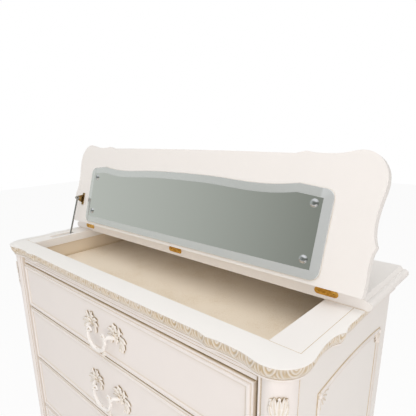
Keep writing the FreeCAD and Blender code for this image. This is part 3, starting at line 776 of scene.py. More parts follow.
@dataclass
class Cornice:
    """The bead under the frame, swept round the three shown sides, and the reeded frieze over the drawers."""

    plan: TopPlan
    place: Place
    finishes: Finishes
    top: float = -22.0
    low: float = -28.0
    inner: float = 34.0
    frieze_low: float = -50.0
    frieze_face: float = 217.0
    frieze_back: float = 201.0
    frieze_half: float = 384.5

    def profile(self) -> list[tuple[float, float, float]]:
        """Height, inset and hollow mark of each row, from the top inside round to the bottom inside."""
        rows = [(self.top, self.inner, 0.0), (self.top, 9.6, 0.35)]
        for i in range(11):
            a = math.pi * (0.5 - i / 10)
            rows.append((self.top - 2.9 + 2.6 * math.sin(a), 9.4 - 2.3 * math.cos(a), 0.0))
        return rows + [(self.low + 0.2, 9.8, 0.35), (self.low, 10.4, 0.4), (self.low, self.inner, 0.0)]

    def frieze(self) -> Shell:
        """The flat rail over the drawers, with two reeds along it."""
        shell = Shell()
        face = -self.frieze_face
        # The last rows round under the frieze into the gap over the top drawer; their 0.6 and 0.8 marks are
        # painted shade in that gap.
        section = [(0.0, 1.6, 0.4), (-2.0, 1.2, 0.1), (-7.0, 1.2, 0.0), (-7.6, 1.9, 0.42), (-8.2, 1.2, 0.0),
                   (-12.6, 1.2, 0.0), (-13.2, 1.9, 0.42), (-13.8, 1.0, 0.0), (-16.0, 0.2, 0.0),
                   (-18.4, 0.0, 0.0),
                   (-20.4, 0.6, 0.1), (-21.6, 2.0, 0.6), (-22.0, 3.0, 0.8)]
        rows = [[(x, face + inset, self.low + drop) for drop, inset, _ in section]
                + [(x, -self.frieze_back, self.frieze_low), (x, -self.frieze_back, self.low)]
                for x in np.linspace(-self.frieze_half, self.frieze_half, 60)]
        marks = [[mark for _, _, mark in section] + [0.0, 0.0]] * len(rows)
        shell.skin(np.array(rows), around=True, caps=True, hollow=np.array(marks))
        return shell

    def build(self) -> None:
        """Makes the front length and the two side lengths."""
        path = self.plan.whole()[::3]
        cut = 184.0
        front = path[:, 1] < -cut
        first, last = path[front][0], path[front][-1]
        parts = {
            "front": np.concatenate([[(first[0], -cut)], path[front], [(last[0], -cut)]]),
            "right": np.concatenate([[(last[0], -cut)], path[(~front) & (path[:, 0] > 0)]]),
            "left": np.concatenate([path[(~front) & (path[:, 0] < 0)], [(first[0], -cut)]]),
        }
        for label, part in parts.items():
            shell = self.frieze() if label == "front" else Shell()
            rows = []
            for z, inset, _ in self.profile():
                rows.append(np.column_stack([self.plan.shrunk(part, inset), np.full(len(part), z)]))
            marks = np.array([[mark] * len(part) for _, _, mark in self.profile()])
            shell.skin(np.array(rows).transpose(1, 0, 2), around=True, caps=True, hollow=marks.T)
            made = shell.piece("moulded_cornice_%s" % label, self.finishes.paint, self.place.rest, crease=30)
            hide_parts("cornice_%s" % label)
            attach(made, Body.CARCASS.value)


# ---------------------------------------------------------------- carcass dressing

@dataclass
class CornerPost:
    """A front corner post: rebate, bead, quirk and rounded face, run down to the foot."""

    place: Place
    finishes: Finishes
    top: float = -28.0
    low: float = -846.0

    def section(self) -> Points:
        """The plan of the right post."""
        bead = [(391 + 2.2 - 2.2 * math.cos(a), -222.4 - 1.6 * math.sin(a))
                for a in np.linspace(0, math.pi, 7)]
        face = spline([(397.4, -223.4), (405, -226.8), (414, -226.8), (423, -221.2), (430.5, -211.0),
                       (434.6, -200.0), (435.6, -191.0)], 2.0)
        points = [(384.5, -200.0), (384.5, -212.0), (386.0, -213.0), (390.0, -213.0), (391.0, -214.6)] + bead
        points += [(396.2, -222.2), (396.6, -221.4), (397.2, -221.8)] + [tuple(p) for p in face]
        points += [(435.0, -188.8), (434.0, -188.2), (434.0, -186.8), (435.2, -186.0), (435.0, -183.4),
                   (432.0, -181.6), (432.0, -180.0), (414.0, -180.0), (414.0, -200.0)]
        return np.array(points)

    def build(self) -> None:
        """Makes both posts."""
        plan = self.section()
        mark = np.zeros(len(plan))
        near = {(391.0, -214.6): 0.5, (396.2, -222.2): 0.3, (396.6, -221.4): 0.6, (397.2, -221.8): 0.3,
                (434.0, -188.2): 0.45, (434.0, -186.8): 0.45, (386.0, -213.0): 0.35, (390.0, -213.0): 0.35}
        for i, (x, y) in enumerate(plan):
            for (a, b), value in near.items():
                if abs(x - a) + abs(y - b) < 0.01:
                    mark[i] = value
        levels = np.linspace(self.low, self.top, 28)
        for side, label in ((1, "right"), (-1, "left")):
            rows = [np.column_stack([plan[:, 0] * side, plan[:, 1], np.full(len(plan), z)]) for z in levels]
            shell = Shell()
            shell.skin(np.array(rows), around=True, caps=True, hollow=np.array([mark] * len(levels)))
            made = shell.piece("moulded_post_%s" % label, self.finishes.paint, self.place.rest, crease=34)
            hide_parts("front_post_%s" % label)
            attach(made, Body.CARCASS.value)


@dataclass
class Frond:
    """One carved leaf: a bent, lobed blade with a sunk vein and a rolled tip."""

    length: float = 20.0
    width: float = 5.0
    height: float = 3.0
    bend: float = 0.0
    curl: float = 2.0
    lobes: int = 3
    steps: int = 14
    across: int = 9

    def rows(self, base: Sequence[float], angle: float) -> tuple[Points, Points]:
        """Rings of the blade on a flat ground.

        Args:
            base: where the leaf starts: across, up, and height above the ground.
            angle: its starting direction in degrees from straight up, positive to the right.

        Returns:
            An array of rings of (across, up, height) points, and their hollow marks.
        """
        heading = math.radians(angle)
        point = np.array(base[:2], float)
        rings, marks = [], []
        for i in range(self.steps + 1):
            t = i / self.steps
            way = np.array([math.sin(heading), math.cos(heading)])
            side = np.array([way[1], -way[0]])
            lobe = 1 + 0.28 * abs(math.sin(math.pi * self.lobes * t))
            half = self.width / 2 * (math.sin(math.pi * min(0.12 + 0.86 * t, 0.98)) ** 0.7) * lobe
            crown = base[2] + self.height * (0.35 + 0.65 * math.sin(math.pi * min(t * 0.8 + 0.1, 1.0)))
            crown += self.curl * smoothstep(0.55, 1.0, np.array(t)).item()
            w = np.linspace(-1, 1, self.across)
            vein_depth = self.height * 0.35 * np.exp(-(w / 0.22) ** 2)
            front = crown - self.height * 0.75 * np.abs(w) ** 2.2 - vein_depth
            ring = [(*(point + side * half * a), h) for a, h in zip(w, front)]
            under = crown - self.height * 0.95
            ring += [(*(point + side * half * a * 0.7), under) for a in (0.8, 0.0, -0.8)]
            rings.append(ring)
            vein = 0.75 * np.exp(-(w / 0.3) ** 2) + 0.55 * smoothstep(0.7, 1.0, np.abs(w))
            marks.append(list(np.clip(vein, 0, 1) * 0.8) + [0.9] * 3)
            point = point + way * self.length / self.steps
            heading += math.radians(self.bend) / self.steps
        return np.array(rings), np.array(marks)

    def cut(self, shell: Shell, base: Sequence[float], angle: float, lay: Callable[[Points], Points]) -> None:
        """Adds the leaf to a shell.

        Args:
            shell: the shell that gets it.
            base: where the leaf starts on the ground.
            angle: its starting direction in degrees.
            lay: turns (across, up, height) rows into x, y, z.
        """
        rings, marks = self.rows(base, angle)
        flat = lay(rings.reshape(-1, 3)).reshape(rings.shape)
        shell.skin(flat, around=True, caps=True, hollow=marks)


def knob(shell: Shell, centre: Sequence[float], radius: float, lay: Callable[[Points], Points],
         rise: float = 0.8) -> None:
    """Adds a small domed bud to a shell.

    Args:
        shell: the shell that gets it.
        centre: across, up and height of its foot.
        radius: its radius.
        lay: turns (across, up, height) rows into x, y, z.
        rise: its height as a share of its radius.
    """
    rings, marks = [], []
    for i in range(7):
        a = math.pi / 2 * i / 6
        r = max(radius * math.cos(a), radius * 0.04)
        t = np.linspace(0, 2 * math.pi, 14, endpoint=False)
        rings.append(np.column_stack([centre[0] + r * np.cos(t), centre[1] + r * np.sin(t),
                                      np.full(14, centre[2] + rise * radius * math.sin(a))]))
        marks.append([0.8 * (1 - i / 2.5)] * 14)
    rings = np.array(rings)
    shell.skin(lay(rings.reshape(-1, 3)).reshape(rings.shape), around=True, caps=True,
               hollow=np.clip(marks, 0, 1))


@dataclass
class CornerLeaf:
    """The carved spray at the top of each corner post: rolled tips above a long pointed tail."""

    place: Place
    finishes: Finishes
    x: float = 421.6
    y: float = -217.8
    top: float = -54.0
    drop: float = 92.0
    turn: float = 40.0

    def build(self) -> None:
        """Makes both sprays."""
        a = math.radians(self.turn)
        for side, label in ((1, "right"), (-1, "left")):
            def lay(p: Points, side: int = side) -> Points:
                """Wraps the flat spray round the post's rounded face."""
                radius = 26.0
                swing = a + p[:, 0] / radius
                out = radius + p[:, 2] - 3.4
                cx, cy = self.x - 19.0 * math.sin(a), self.y + 18.0 * math.cos(a)
                return np.column_stack([side * (cx + out * np.sin(swing)), cy - out * np.cos(swing), p[:, 1]])
            shell = Shell()
            base = self.top - 34
            for k, (angle, length, width, bend) in enumerate((
                    (-34, 34, 8.0, 46), (34, 34, 8.0, -46), (-20, 36, 8.0, 26), (20, 36, 8.0, -26),
                    (-48, 26, 7.0, 64), (48, 26, 7.0, -64), (0, 33, 10.0, 0))):
                Frond(length, 1.1 * width, 3.0, bend, 1.4, 3).cut(shell,
                                                                  (0.10 * angle, base, 0.5 + 0.12 * k),
                                                                  angle, lay)
            for k, (angle, length, width, bend) in enumerate((
                    (154, 30, 7.0, 40), (-154, 30, 7.0, -40), (168, 46, 7.0, 18), (-168, 46, 7.0, -18),
                    (180, self.drop - 34, 9.0, 0))):
                Frond(length, 1.1 * width, 2.8, bend, -1.0, 4).cut(shell, (0, base + 4, 0.4 + 0.1 * k),
                                                                   angle, lay)
            for across, up, size in ((-13, -3, 2.2), (13, -3, 2.2), (0, 0, 2.6), (0, -34, 4.0)):
                knob(shell, (across, self.top + up - 1, 1.2), size, lay)
            made = shell.piece("carved_corner_spray_%s" % label, self.finishes.cast, self.place.rest,
                               crease=50)
            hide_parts("corner_leaf_%s" % label)
            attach(made, Body.CARCASS.value)


@dataclass
class SidePanelFrame:
    """The moulded frame on a side panel, with a small carved spray in each corner."""

    place: Place
    finishes: Finishes
    side_x: float = 432.0
    front: float = -118.0
    back: float = 160.0
    top: float = -103.0
    low: float = -793.0
    arch: float = 8.0

    def outline(self, margin: float) -> Points:
        """The closed path of the frame at a margin from its outer edge."""
        y0, y1 = self.front + margin, self.back - margin
        z1, z0 = self.top - margin, self.low + margin
        ys = np.linspace(y0, y1, 33)
        rise = self.arch * (1 - ((ys - (y0 + y1) / 2) / ((y1 - y0) / 2)) ** 2)
        upper = np.column_stack([ys, z1 + rise])
        lower = np.column_stack([ys[::-1], z0 - rise])
        return np.concatenate([upper, lower])

    def build(self) -> None:
        """Makes the frames and their corner sprays."""
        profile = [(0.0, -0.5, 0.8), (0.0, 1.2, 0.7), (1.0, 1.6, 0.1), (2.0, 3.0, 0.0), (3.4, 3.9, 0.0),
                   (4.8, 3.6, 0.0),
                   (6.0, 2.2, 0.3), (6.6, 1.9, 0.7), (7.4, 2.0, 0.3), (9.0, 2.8, 0.0), (10.6, 2.6, 0.0),
                   (12.4, 1.4, 0.1), (13.6, 0.8, 0.3), (14.0, 0.5, 0.8), (14.0, -0.5, 0.8)]
        for side, label in ((1, "right"), (-1, "left")):
            rows = []
            for margin, out, _ in profile:
                ring = self.outline(margin)
                rows.append(np.column_stack([np.full(len(ring), side * (self.side_x + out)), ring]))
            rows = np.array(rows).transpose(1, 0, 2)
            rows = np.concatenate([rows, rows[:1]])
            marks = np.array([[mark for _, _, mark in profile]] * len(rows))
            shell = Shell()
            shell.skin(rows, around=True, hollow=marks)

            def lay(p: Points, side: int = side) -> Points:
                """Lays a flat spray on the side panel."""
                return np.column_stack([side * (self.side_x + p[:, 2]), p[:, 0], p[:, 1]])
            for y, dy in ((self.front + 6, 1), (self.back - 6, -1)):
                for z, dz in ((self.top - 6, -1), (self.low + 6, 1)):
                    middle = math.degrees(math.atan2(dy, dz))
                    for swing, length in ((-62, 28), (62, 28), (-30, 24), (30, 24), (0, 26)):
                        bend = -0.7 * swing
                        Frond(length, 8.0, 3.4, bend, 1.6, 3).cut(shell, (y, z, 0.8), middle + swing, lay)
                    knob(shell, (y, z, 1.0), 6.0, lay)
            made = shell.piece("side_frame_%s" % label, self.finishes.paint, self.place.rest, crease=45)
            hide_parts("side_moulding_%s" % label)
            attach(made, Body.CARCASS.value)


@dataclass
class FrontFoot:
    """A cabriole leg with a carved knee and a scrolled toe."""

    place: Place
    finishes: Finishes
    x: float = 410.0
    y: float = -204.0
    floor: float = -1020.0
    leg: float = 174.0

    def build(self) -> None:
        """Makes both front legs."""
        stations = spline([(0.0, 8.0, 20.0), (0.04, 9.5, 22.0), (0.10, 10.0, 21.0), (0.16, 6.5, 16.5),
                           (0.26, 1.5, 13.5),
                           (0.42, -2.0, 14.0), (0.58, 0.5, 18.0), (0.74, 4.5, 25.0), (0.86, 4.5, 29.0),
                           (0.94, 2.0, 29.5), (1.0, 0.0, 29.0)], 1.1)
        turn = np.linspace(0, 2 * math.pi, 40, endpoint=False)
        for side, label in ((1, "right"), (-1, "left")):
            rows, marks = [], []
            for share, out, radius in stations:
                facing = np.cos(turn - math.radians(-45))
                ridge = 0.9 * np.exp(-((1 - facing) / 0.05)) * smoothstep(0.05, 0.3, np.array(share))
                toe = 1.6 * np.abs(np.sin(3.5 * turn)) * (1 - smoothstep(0.06, 0.16, np.array(share)))
                r = radius + ridge * 1.5 - toe
                rows.append(np.column_stack([side * (self.x + out + r * np.cos(turn)),
                                             self.y - out + r * np.sin(turn),
                                             np.full(len(turn),
                                                     self.floor + np.clip(share, 0, 1) * self.leg)]))
                marks.append(np.clip(toe / 1.6 * 0.7, 0, 1) * (np.abs(np.sin(3.5 * turn)) > 0.8))
            shell = Shell()
            shell.skin(np.array(rows), around=True, caps=True, hollow=np.array(marks))

            def lay(p: Points, side: int = side) -> Points:
                """Wraps a flat spray round the knee."""
                share = np.clip((p[:, 1] - self.floor) / self.leg, 0, 1)
                r = np.interp(share, stations[:, 0], stations[:, 2]) + p[:, 2] - 0.6
                out = np.interp(share, stations[:, 0], stations[:, 1])
                swing = math.radians(45) + p[:, 0] / 28
                return np.column_stack([side * (self.x + out + r * np.sin(swing)),
                                        self.y - out - r * np.cos(swing), p[:, 1]])
            knee = self.floor + 0.66 * self.leg
            for angle, length, bend in ((-40, 44, 30), (40, 44, -30), (-22, 50, 14), (22, 50, -14),
                                        (0, 50, 0)):
                Frond(length, 11.0, 3.2, bend, 1.6, 4).cut(shell, (0.1 * angle, knee - 8, 0.3), angle, lay)
            Frond(44, 9.0, 2.6, 0, -0.6, 4).cut(shell, (0, knee, 0.3), 180, lay)
            made = shell.piece("carved_foot_%s" % label, self.finishes.paint, self.place.rest, crease=50)
            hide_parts("front_foot_%s" % label)
            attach(made, Body.CARCASS.value)


@dataclass
class DrawerSet:
    """The drawer fronts with their moulded edge, and the cast handles."""

    place: Place
    finishes: Finishes
    rows: tuple[float, ...] = (131.0, 168.0, 165.0, 166.0, 166.0)
    top: float = -50.0
    gap: float = 1.25
    half: float = 382.0
    face: float = -220.0
    rear: float = -201.0
    reach_share: float = 0.88

    def front(self, number: int, low: float, high: float) -> None:
        """One drawer front.

        Args:
            number: the drawer's number from the top.
            low: height of its lower edge.
            high: height of its upper edge.
        """
        # The first two rows are the front's outer edge inside the gap round the drawer; their 0.4 mark is
        # painted shade in that gap.
        profile = [(0.0, 0.0, 0.4), (0.0, 17.0, 0.4), (0.5, 18.4, 0.1), (2.2, 19.0, 0.0), (3.6, 19.0, 0.2),
                   (4.2, 19.0, 0.45), (4.8, 20.6, 0.06), (6.0, 22.0, 0.0), (7.6, 22.6, 0.0), (9.4, 22.4, 0.0),
                   (11.0, 21.4, 0.0), (12.2, 20.0, 0.1), (12.8, 19.2, 0.42), (13.6, 19.0, 0.3),
                   (15.4, 19.0, 0.05),
                   (24.0, 19.0, 0.0)]
        shell = Shell()
        rows = []
        for inset, out, _ in profile:
            x, z0, z1, y = self.half - inset, low + inset, high - inset, self.rear - out
            rows.append([(-x, y, z0), (x, y, z0), (x, y, z1), (-x, y, z1)])
        marks = np.array([[mark] * 4 for _, _, mark in profile])
        shell.skin(np.array(rows), around=True, caps=True, hollow=marks)
        made = shell.piece("moulded_drawer_front_%d" % number, self.finishes.paint, self.place.rest,
                           crease=28)
        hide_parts("drawer_front_%d" % number)
        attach(made, Body.drawer(number))

    def handle(self, number: int, middle: float) -> None:
        """One cast handle: two sprays of leaves with a swan-neck grip between them.

        Args:
            number: the drawer's number from the top.
            middle: height of the handle's centre.
        """
        def lay(p: Points) -> Points:
            """Lays the flat casting on the drawer front, eased down to the grip's full reach."""
            return np.column_stack([p[:, 0], self.face - self.reach_share * p[:, 2], middle + p[:, 1]])
        shell = Shell()
        for side in (-1, 1):
            cx, cy = side * 46.0, 3.0
            sprays = ((8, 27, 8.0, -50, 3.0), (-26, 25, 7.0, -70, 3.0), (42, 25, 7.5, -42, 2.4),
                      (74, 25, 7.5, 46, 2.2),
                      (104, 25, 7.0, 62, 2.0), (138, 27, 7.5, 46, 1.8), (168, 25, 7.0, 34, 1.6),
                      (-62, 19, 6.5, -60, 2.4), (-150, 17, 6.0, -40, 1.6))
            for k, (angle, length, width, bend, curl) in enumerate(sprays):
                Frond(1.16 * length, 1.4 * width, 4.8, side * bend, curl, 2, 12, 7).cut(
                    shell, (cx + side * 0.08 * angle, cy, 0.6 + 0.25 * (k % 3)), side * angle, lay)
            for angle, length in ((22, 15), (58, 15), (92, 15), (128, 14), (-14, 13)):
                Frond(length, 6.4, 4.2, side * 30, 2.4, 1, 8, 7).cut(shell, (cx, cy, 3.6), side * angle, lay)
            knob(shell, (cx, cy, 3.6), 7.0, lay, 0.7)
            knob(shell, (cx, cy, 7.6), 3.4, lay, 0.9)
            for across, up in ((21, 16), (23, -6), (12, -23), (2, 25), (-9, 20)):
                knob(shell, (cx + side * across, cy + up, 2.4), 2.7, lay)
            neck = spline([(side * 45, 2, 4), (side * 43, 5, 12), (side * 37, 5, 19), (side * 32.5, -2, 23),
                           (side * 30.5, -13, 24), (side * 24, -26, 24), (side * 13, -33, 24),
                           (0, -35.5, 24)], 1.6)
            size = np.interp(np.linspace(0, 1, len(neck)), [0, 0.15, 0.35, 0.6, 0.85, 1],
                             [6, 5, 4.0, 4.7, 5.2, 5.4])
            shell.skin(lay(tube(neck, size, 12, 0.85).reshape(-1, 3)).reshape(len(neck), 12, 3), around=True,
                       caps=True)
            t = np.linspace(0, 1, 30)
            coil = np.column_stack([side * (29.5 - 7.6 * (1 - 0.66 * t) * np.cos(4.6 * t - 0.4)
                                            + 3.0 * (t - 1)),
                                    4.0 + 8.6 * (1 - 0.66 * t) * np.sin(4.6 * t - 0.4) - 4 * t, 22 + 3 * t])
            start = spline([(side * 36.0, -10, 24.5), (side * 33, -4, 24), tuple(coil[0])], 1.6)[:-1]
            curl = np.concatenate([start, coil])
            slim = np.interp(np.linspace(0, 1, len(curl)), [0, 0.7, 1], [3.2, 2.7, 3.6])
            shell.skin(lay(tube(curl, slim, 10, 0.9).reshape(-1, 3)).reshape(len(curl), 10, 3), around=True,
                       caps=True)
            for angle, length in ((150, 16), (112, 14)):
                Frond(length, 6.0, 3.0, side * 40, 1.0, 2, 10, 7).cut(shell, (side * 20, -28, 22.6),
                                                                      side * angle, lay)
            Frond(15, 6.0, 3.0, side * -50, 1.0, 2, 10, 7).cut(shell, (side * 16, -35, 22.6), side * 122, lay)
        for angle in (150, 180, 210):
            Frond(11, 6.0, 3.2, 0, 0.6, 2, 8, 7).cut(shell, (0.04 * (180 - angle), -32, 24.0), angle, lay)
        knob(shell, (0, -35, 25.6), 5.2, lay, 0.35)
        made = shell.piece("cast_handle_%d" % number, self.finishes.cast, self.place.rest, crease=60)
        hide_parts("drawer_handle_%d" % number)
        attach(made, Body.drawer(number))

    def build(self) -> None:
        """Makes every front and handle."""
        top = self.top
        for number, height in enumerate(self.rows, 1):
            low, high = top - height + self.gap, top - self.gap
            self.front(number, low, high)
            self.handle(number, (low + high) / 2)
            top -= height


# ---------------------------------------------------------------- lid fittings

@dataclass
class LidFittings:
    """The mirror with its ground bevel, the domed caps, and the hinges' leaves and screws."""

    place: Place
    finishes: Finishes
    half: float = 374.0
    low: float = 8.0
    high: float = 177.0
    corner: float = 18.0
    thick: float = 5.0
    bevel: float = 17.4
    gap: float = 0.4
    hinges: tuple[float, ...] = (-382.0, 0.0, 382.0)
    leaf_half: float = 22.0
    leaf_z: float = 13.4
    leaf_r: float = 6.5
    leaf_near: float = 0.1
    leaf_far: float = 1.2
    knuckle: float = 2.0
    tab_low: float = 19.0
    tab_high: float = 21.5
    bed_near: float = 0.24
    bed_far: float = 1.39
    bed_low: float = 4.6
    bed_high: float = 19.9
    screw_step: float = 14.0
    cap_places: tuple[tuple[float, float], ...] = ((-341.7, 42.3), (-341.7, 143.1), (341.7, 42.3),
                                                   (341.7, 143.1))

    def outline(self, inset: float) -> Points:
        """The mirror's closed outline as across and up from the hinge line, drawn in by inset."""
        half, low, high = self.half - inset, self.low + inset, self.high - inset
        c = max(self.corner - inset, 0.5)
        wing = high - 6
        arcs = np.linspace(0, math.pi / 2, 10)
        kink = (self.half - 68, high - 0.5)
        side = [(half - c + c * math.sin(a), low + c - c * math.cos(a)) for a in arcs]
        side += [(half, s) for s in np.linspace(low + c + 6, wing - c - 6, 20)]
        side += [(half - c + c * math.cos(a), wing - c + c * math.sin(a)) for a in arcs]
        share = np.linspace(0, 1, 16)[1:]
        crest = [(half - c + (kink[0] - half + c) * t, wing + 5.5 * t ** 1.5 + 0.8 * math.sin(math.pi * t))
                 for t in share]
        wave = spline([kink, (self.half - 100, high - 4.5), (self.half - 144, high - 7),
                       (0.31 * self.half, high - 2),
                       (0, high)], 8.0)
        right = np.array(side + crest + [tuple(p) for p in wave[1:]])
        left = right[::-1][1:] * np.array([-1, 1])
        return np.concatenate([right, left])

    def mirror(self) -> None:
        """The glass with its bevel, which carries a painted reflection."""
        face = self.gap - self.thick
        levels = [(0.0, self.gap, 1.0), (0.0, face + 2.0, 1.0), (0.5, face + 1.5, 1.0),
                  (self.bevel - 0.06, face + 0.01, 1.0),
                  (self.bevel, face, 0.0)]
        rows, marks = [], []
        for inset, z, mark in levels:
            ring = self.outline(inset)
            rows.append(np.column_stack([ring[:, 0], -ring[:, 1], np.full(len(ring), z)]))
            # Painted reflection on the ground bevel, set side by side: strongest on the right end, then along
            # the bottom, then the top, and weakest on the left end.
            ends = 0.75 + 0.25 * np.sign(ring[:, 0]) * (np.abs(ring[:, 0]) > self.half - 24)
            crown = np.where(ring[:, 1] > self.high - 30, 0.62, 0.85)
            marks.append(mark * np.where(np.abs(ring[:, 0]) > self.half - 24, ends, crown))
        shell = Shell()
        shell.skin(np.array(rows), around=True, caps=True, hollow=np.array(marks))
        made = shell.piece("bevelled_mirror", self.finishes.mirror, self.place.lid, crease=2)
        made.data.shade_flat()
        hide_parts("mirror_glass")
        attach(made, Body.LID.value)

    def caps(self) -> None:
        """The four domed caps over the mirror screws."""
        profile = [(7.75, 0.0), (7.9, -0.8), (7.75, -1.6), (7.2, -2.0), (6.9, -2.0), (6.6, -2.5), (5.6, -3.2),
                   (4.2, -3.8), (2.4, -4.2), (0.2, -4.3)]
        turn = np.linspace(0, 2 * math.pi, 32, endpoint=False)
        shell = Shell()
        for x, s in self.cap_places:
            rows = [np.column_stack([x + r * np.cos(turn), -s + r * np.sin(turn),
                                     np.full(32, self.gap - self.thick + z)]) for r, z in profile]
            shell.skin(np.array(rows), around=True, caps=True)
        made = shell.piece("domed_mirror_caps", self.finishes.chrome, self.place.lid, crease=50)
        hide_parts("mirror_caps")
        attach(made, Body.LID.value)

    def slab(self, shell: Shell, corners: Sequence[Sequence[float]], far: float, near: float,
             side: int) -> None:
        """Adds a flat plate beside the hinge line.

        Args:
            shell: the shell that gets it.
            corners: its outline as (along, up).
            far: distance of its back from the hinge line.
            near: distance of its face from the hinge line.
            side: 1 for the rear board's side, -1 for the lid's.
        """
        rows = [[(along, side * y, up) for along, up in corners] for y in (far, near)]
        shell.skin(np.array(rows), around=True, caps=True)

    def leaf_edge(self) -> list[tuple[float, float]]:
        """The outline of one leaf with its round ends, as along and up."""
        straight, r = self.leaf_half - self.leaf_r, self.leaf_r
        return [(side * (straight + r * math.cos(a)), self.leaf_z + side * r * math.sin(a))
                for side in (1, -1) for a in np.linspace(-math.pi / 2, math.pi / 2, 12)]

    def leaves(self) -> None:
        """The hinge leaves with their round ends and knuckles, let into painted mortises."""
        half, axis = self.leaf_half, self.place.board
        knuckles = {"fixed": [(-half, -13.2), (-4.4, 4.4), (13.2, half)], "lid": [(-12.9, -4.7), (4.7, 12.9)]}
        turn = np.linspace(0, 2 * math.pi, 20, endpoint=False)
        for label, body, side, turned in (("fixed", Body.CARCASS, 1, self.place.rest),
                                          ("lid", Body.LID, -1, self.place.lid)):
            plate, bed = Shell(), Shell()
            for x in self.hinges:
                edge = [(x + along, up) for along, up in self.leaf_edge()]
                self.slab(plate, edge, self.leaf_far, self.leaf_near, side)
                for x0, x1 in knuckles[label]:
                    rows = [[(x + a, self.knuckle * math.cos(t), axis + self.knuckle * math.sin(t))
                             for t in turn]
                            for a in (x0, x1)]
                    plate.skin(np.array(rows), around=True, caps=True)
                    tab = [(x + x0, self.tab_low), (x + x1, self.tab_low), (x + x1, self.tab_high),
                           (x + x0, self.tab_high)]
                    self.slab(plate, tab, self.leaf_far, self.leaf_near, side)
                corners = [(x - half, self.bed_low), (x + half, self.bed_low), (x + half, self.bed_high),
                           (x - half, self.bed_high)]
                self.slab(bed, corners, self.bed_far, self.bed_near, side)
            made = plate.piece("hinge_leaves_%s" % label, self.finishes.brass, turned, crease=40)
            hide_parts("hinge_plates" if side == 1 else "lid_hinge_plates")
            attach(made, body.value)
            made = bed.piece("hinge_beds_%s" % label, self.finishes.plain, turned)
            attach(made, body.value)

    def screws(self) -> None:
        """Cross-head screws on both leaves of the hinges, set along the hinge line by a node tree."""
        def head(tree: bpy.types.NodeTree, given: bpy.types.Node) -> bpy.types.NodeSocket:
            """A screw head with a crossed recess, put at each point of the carrier mesh."""
            disc = add(tree, "GeometryNodeMeshCylinder",
                       {"Vertices": 20, "Radius": given.outputs["Head radius"],
                        "Depth": given.outputs["Head height"]})
            arms = add(tree, "GeometryNodeJoinGeometry")
            long, short = given.outputs["Slot length"], given.outputs["Slot width"]
            for first, second in ((long, short), (short, long)):
                size = add(tree, "ShaderNodeCombineXYZ",
                           {0: first, 1: second, 2: given.outputs["Slot depth"]})
                bar = add(tree, "GeometryNodeMeshCube", {"Size": size.outputs[0]})
                tree.links.new(bar.outputs[0], arms.inputs[0])
            cut = add(tree, "GeometryNodeMeshBoolean", {"Mesh 1": disc.outputs[0], "Mesh 2": arms.outputs[0]},
                      operation="DIFFERENCE")
            turned = add(tree, "FunctionNodeEulerToRotation", {0: (math.radians(90), 0.0, 0.0)})
            spots = add(tree, "GeometryNodeMeshToPoints", {0: given.outputs["Geometry"]})
            return add(tree, "GeometryNodeInstanceOnPoints", {0: spots.outputs[0], "Instance": cut.outputs[0],
                                                              "Rotation": turned.outputs[0]}).outputs[0]
        sizes = {"Head radius": 2.6 * MM, "Head height": 0.14 * MM, "Slot length": 3.4 * MM,
                 "Slot width": 0.7 * MM, "Slot depth": 0.6 * MM}
        tree = rule_tree("hinge_screw_row", sizes, head)
        for label, body, side in (("fixed", Body.CARCASS, 1), ("lid", Body.LID, -1)):
            spots = np.array([(x + step, side * self.leaf_near, self.leaf_z) for x in self.hinges
                              for step in (-self.screw_step, self.screw_step)])
            mesh = bpy.data.meshes.new("spots")
            mesh.from_pydata(self.place.rest(spots).tolist(), [], [])
            base = bpy.data.objects.new("hinge_screws_%s" % label, mesh)
            bpy.context.scene.collection.objects.link(base)
            run_tree(base.name, base, tree, self.finishes.screw)
            if side < 0:
                axis = Matrix.Translation(self.place.rest(np.array([[0, 0, self.place.board]]))[0])
                swing = axis @ Matrix.Rotation(math.radians(-self.place.lid_angle), 4, "X") @ axis.inverted()
                base.data.transform(swing)
            base.data.shade_flat()
            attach(base, body.value)

    def build(self) -> None:
        """Makes the mirror, the caps and the hinges."""
        self.mirror()
        self.caps()
        self.leaves()
        self.screws()


# ---------------------------------------------------------------- frame nodes, studio and camera

@dataclass
class Carried:
    """Gives every CAD node that stays in view its finish."""

    finishes: Finishes

    def finish_of(self, node: str) -> bpy.types.Material:
        """The finish of one CAD node."""
        kit = self.finishes
        if node.startswith(("drawer_tray", "dust_board")) or node == "back_panel":
            return kit.wood
        if node.startswith("compartment"):
            return kit.wall
        special = {"felt_lining": kit.felt, "stay_bracket": kit.aged, "stay_rod": kit.steel}
        return special.get(node, kit.plain)

    def build(self, nodes: dict[str, bpy.types.Object]) -> None:
        """Sets the material of each node."""
        for name, node in nodes.items():
            node.data.materials.clear()
            node.data.materials.append(self.finish_of(name))


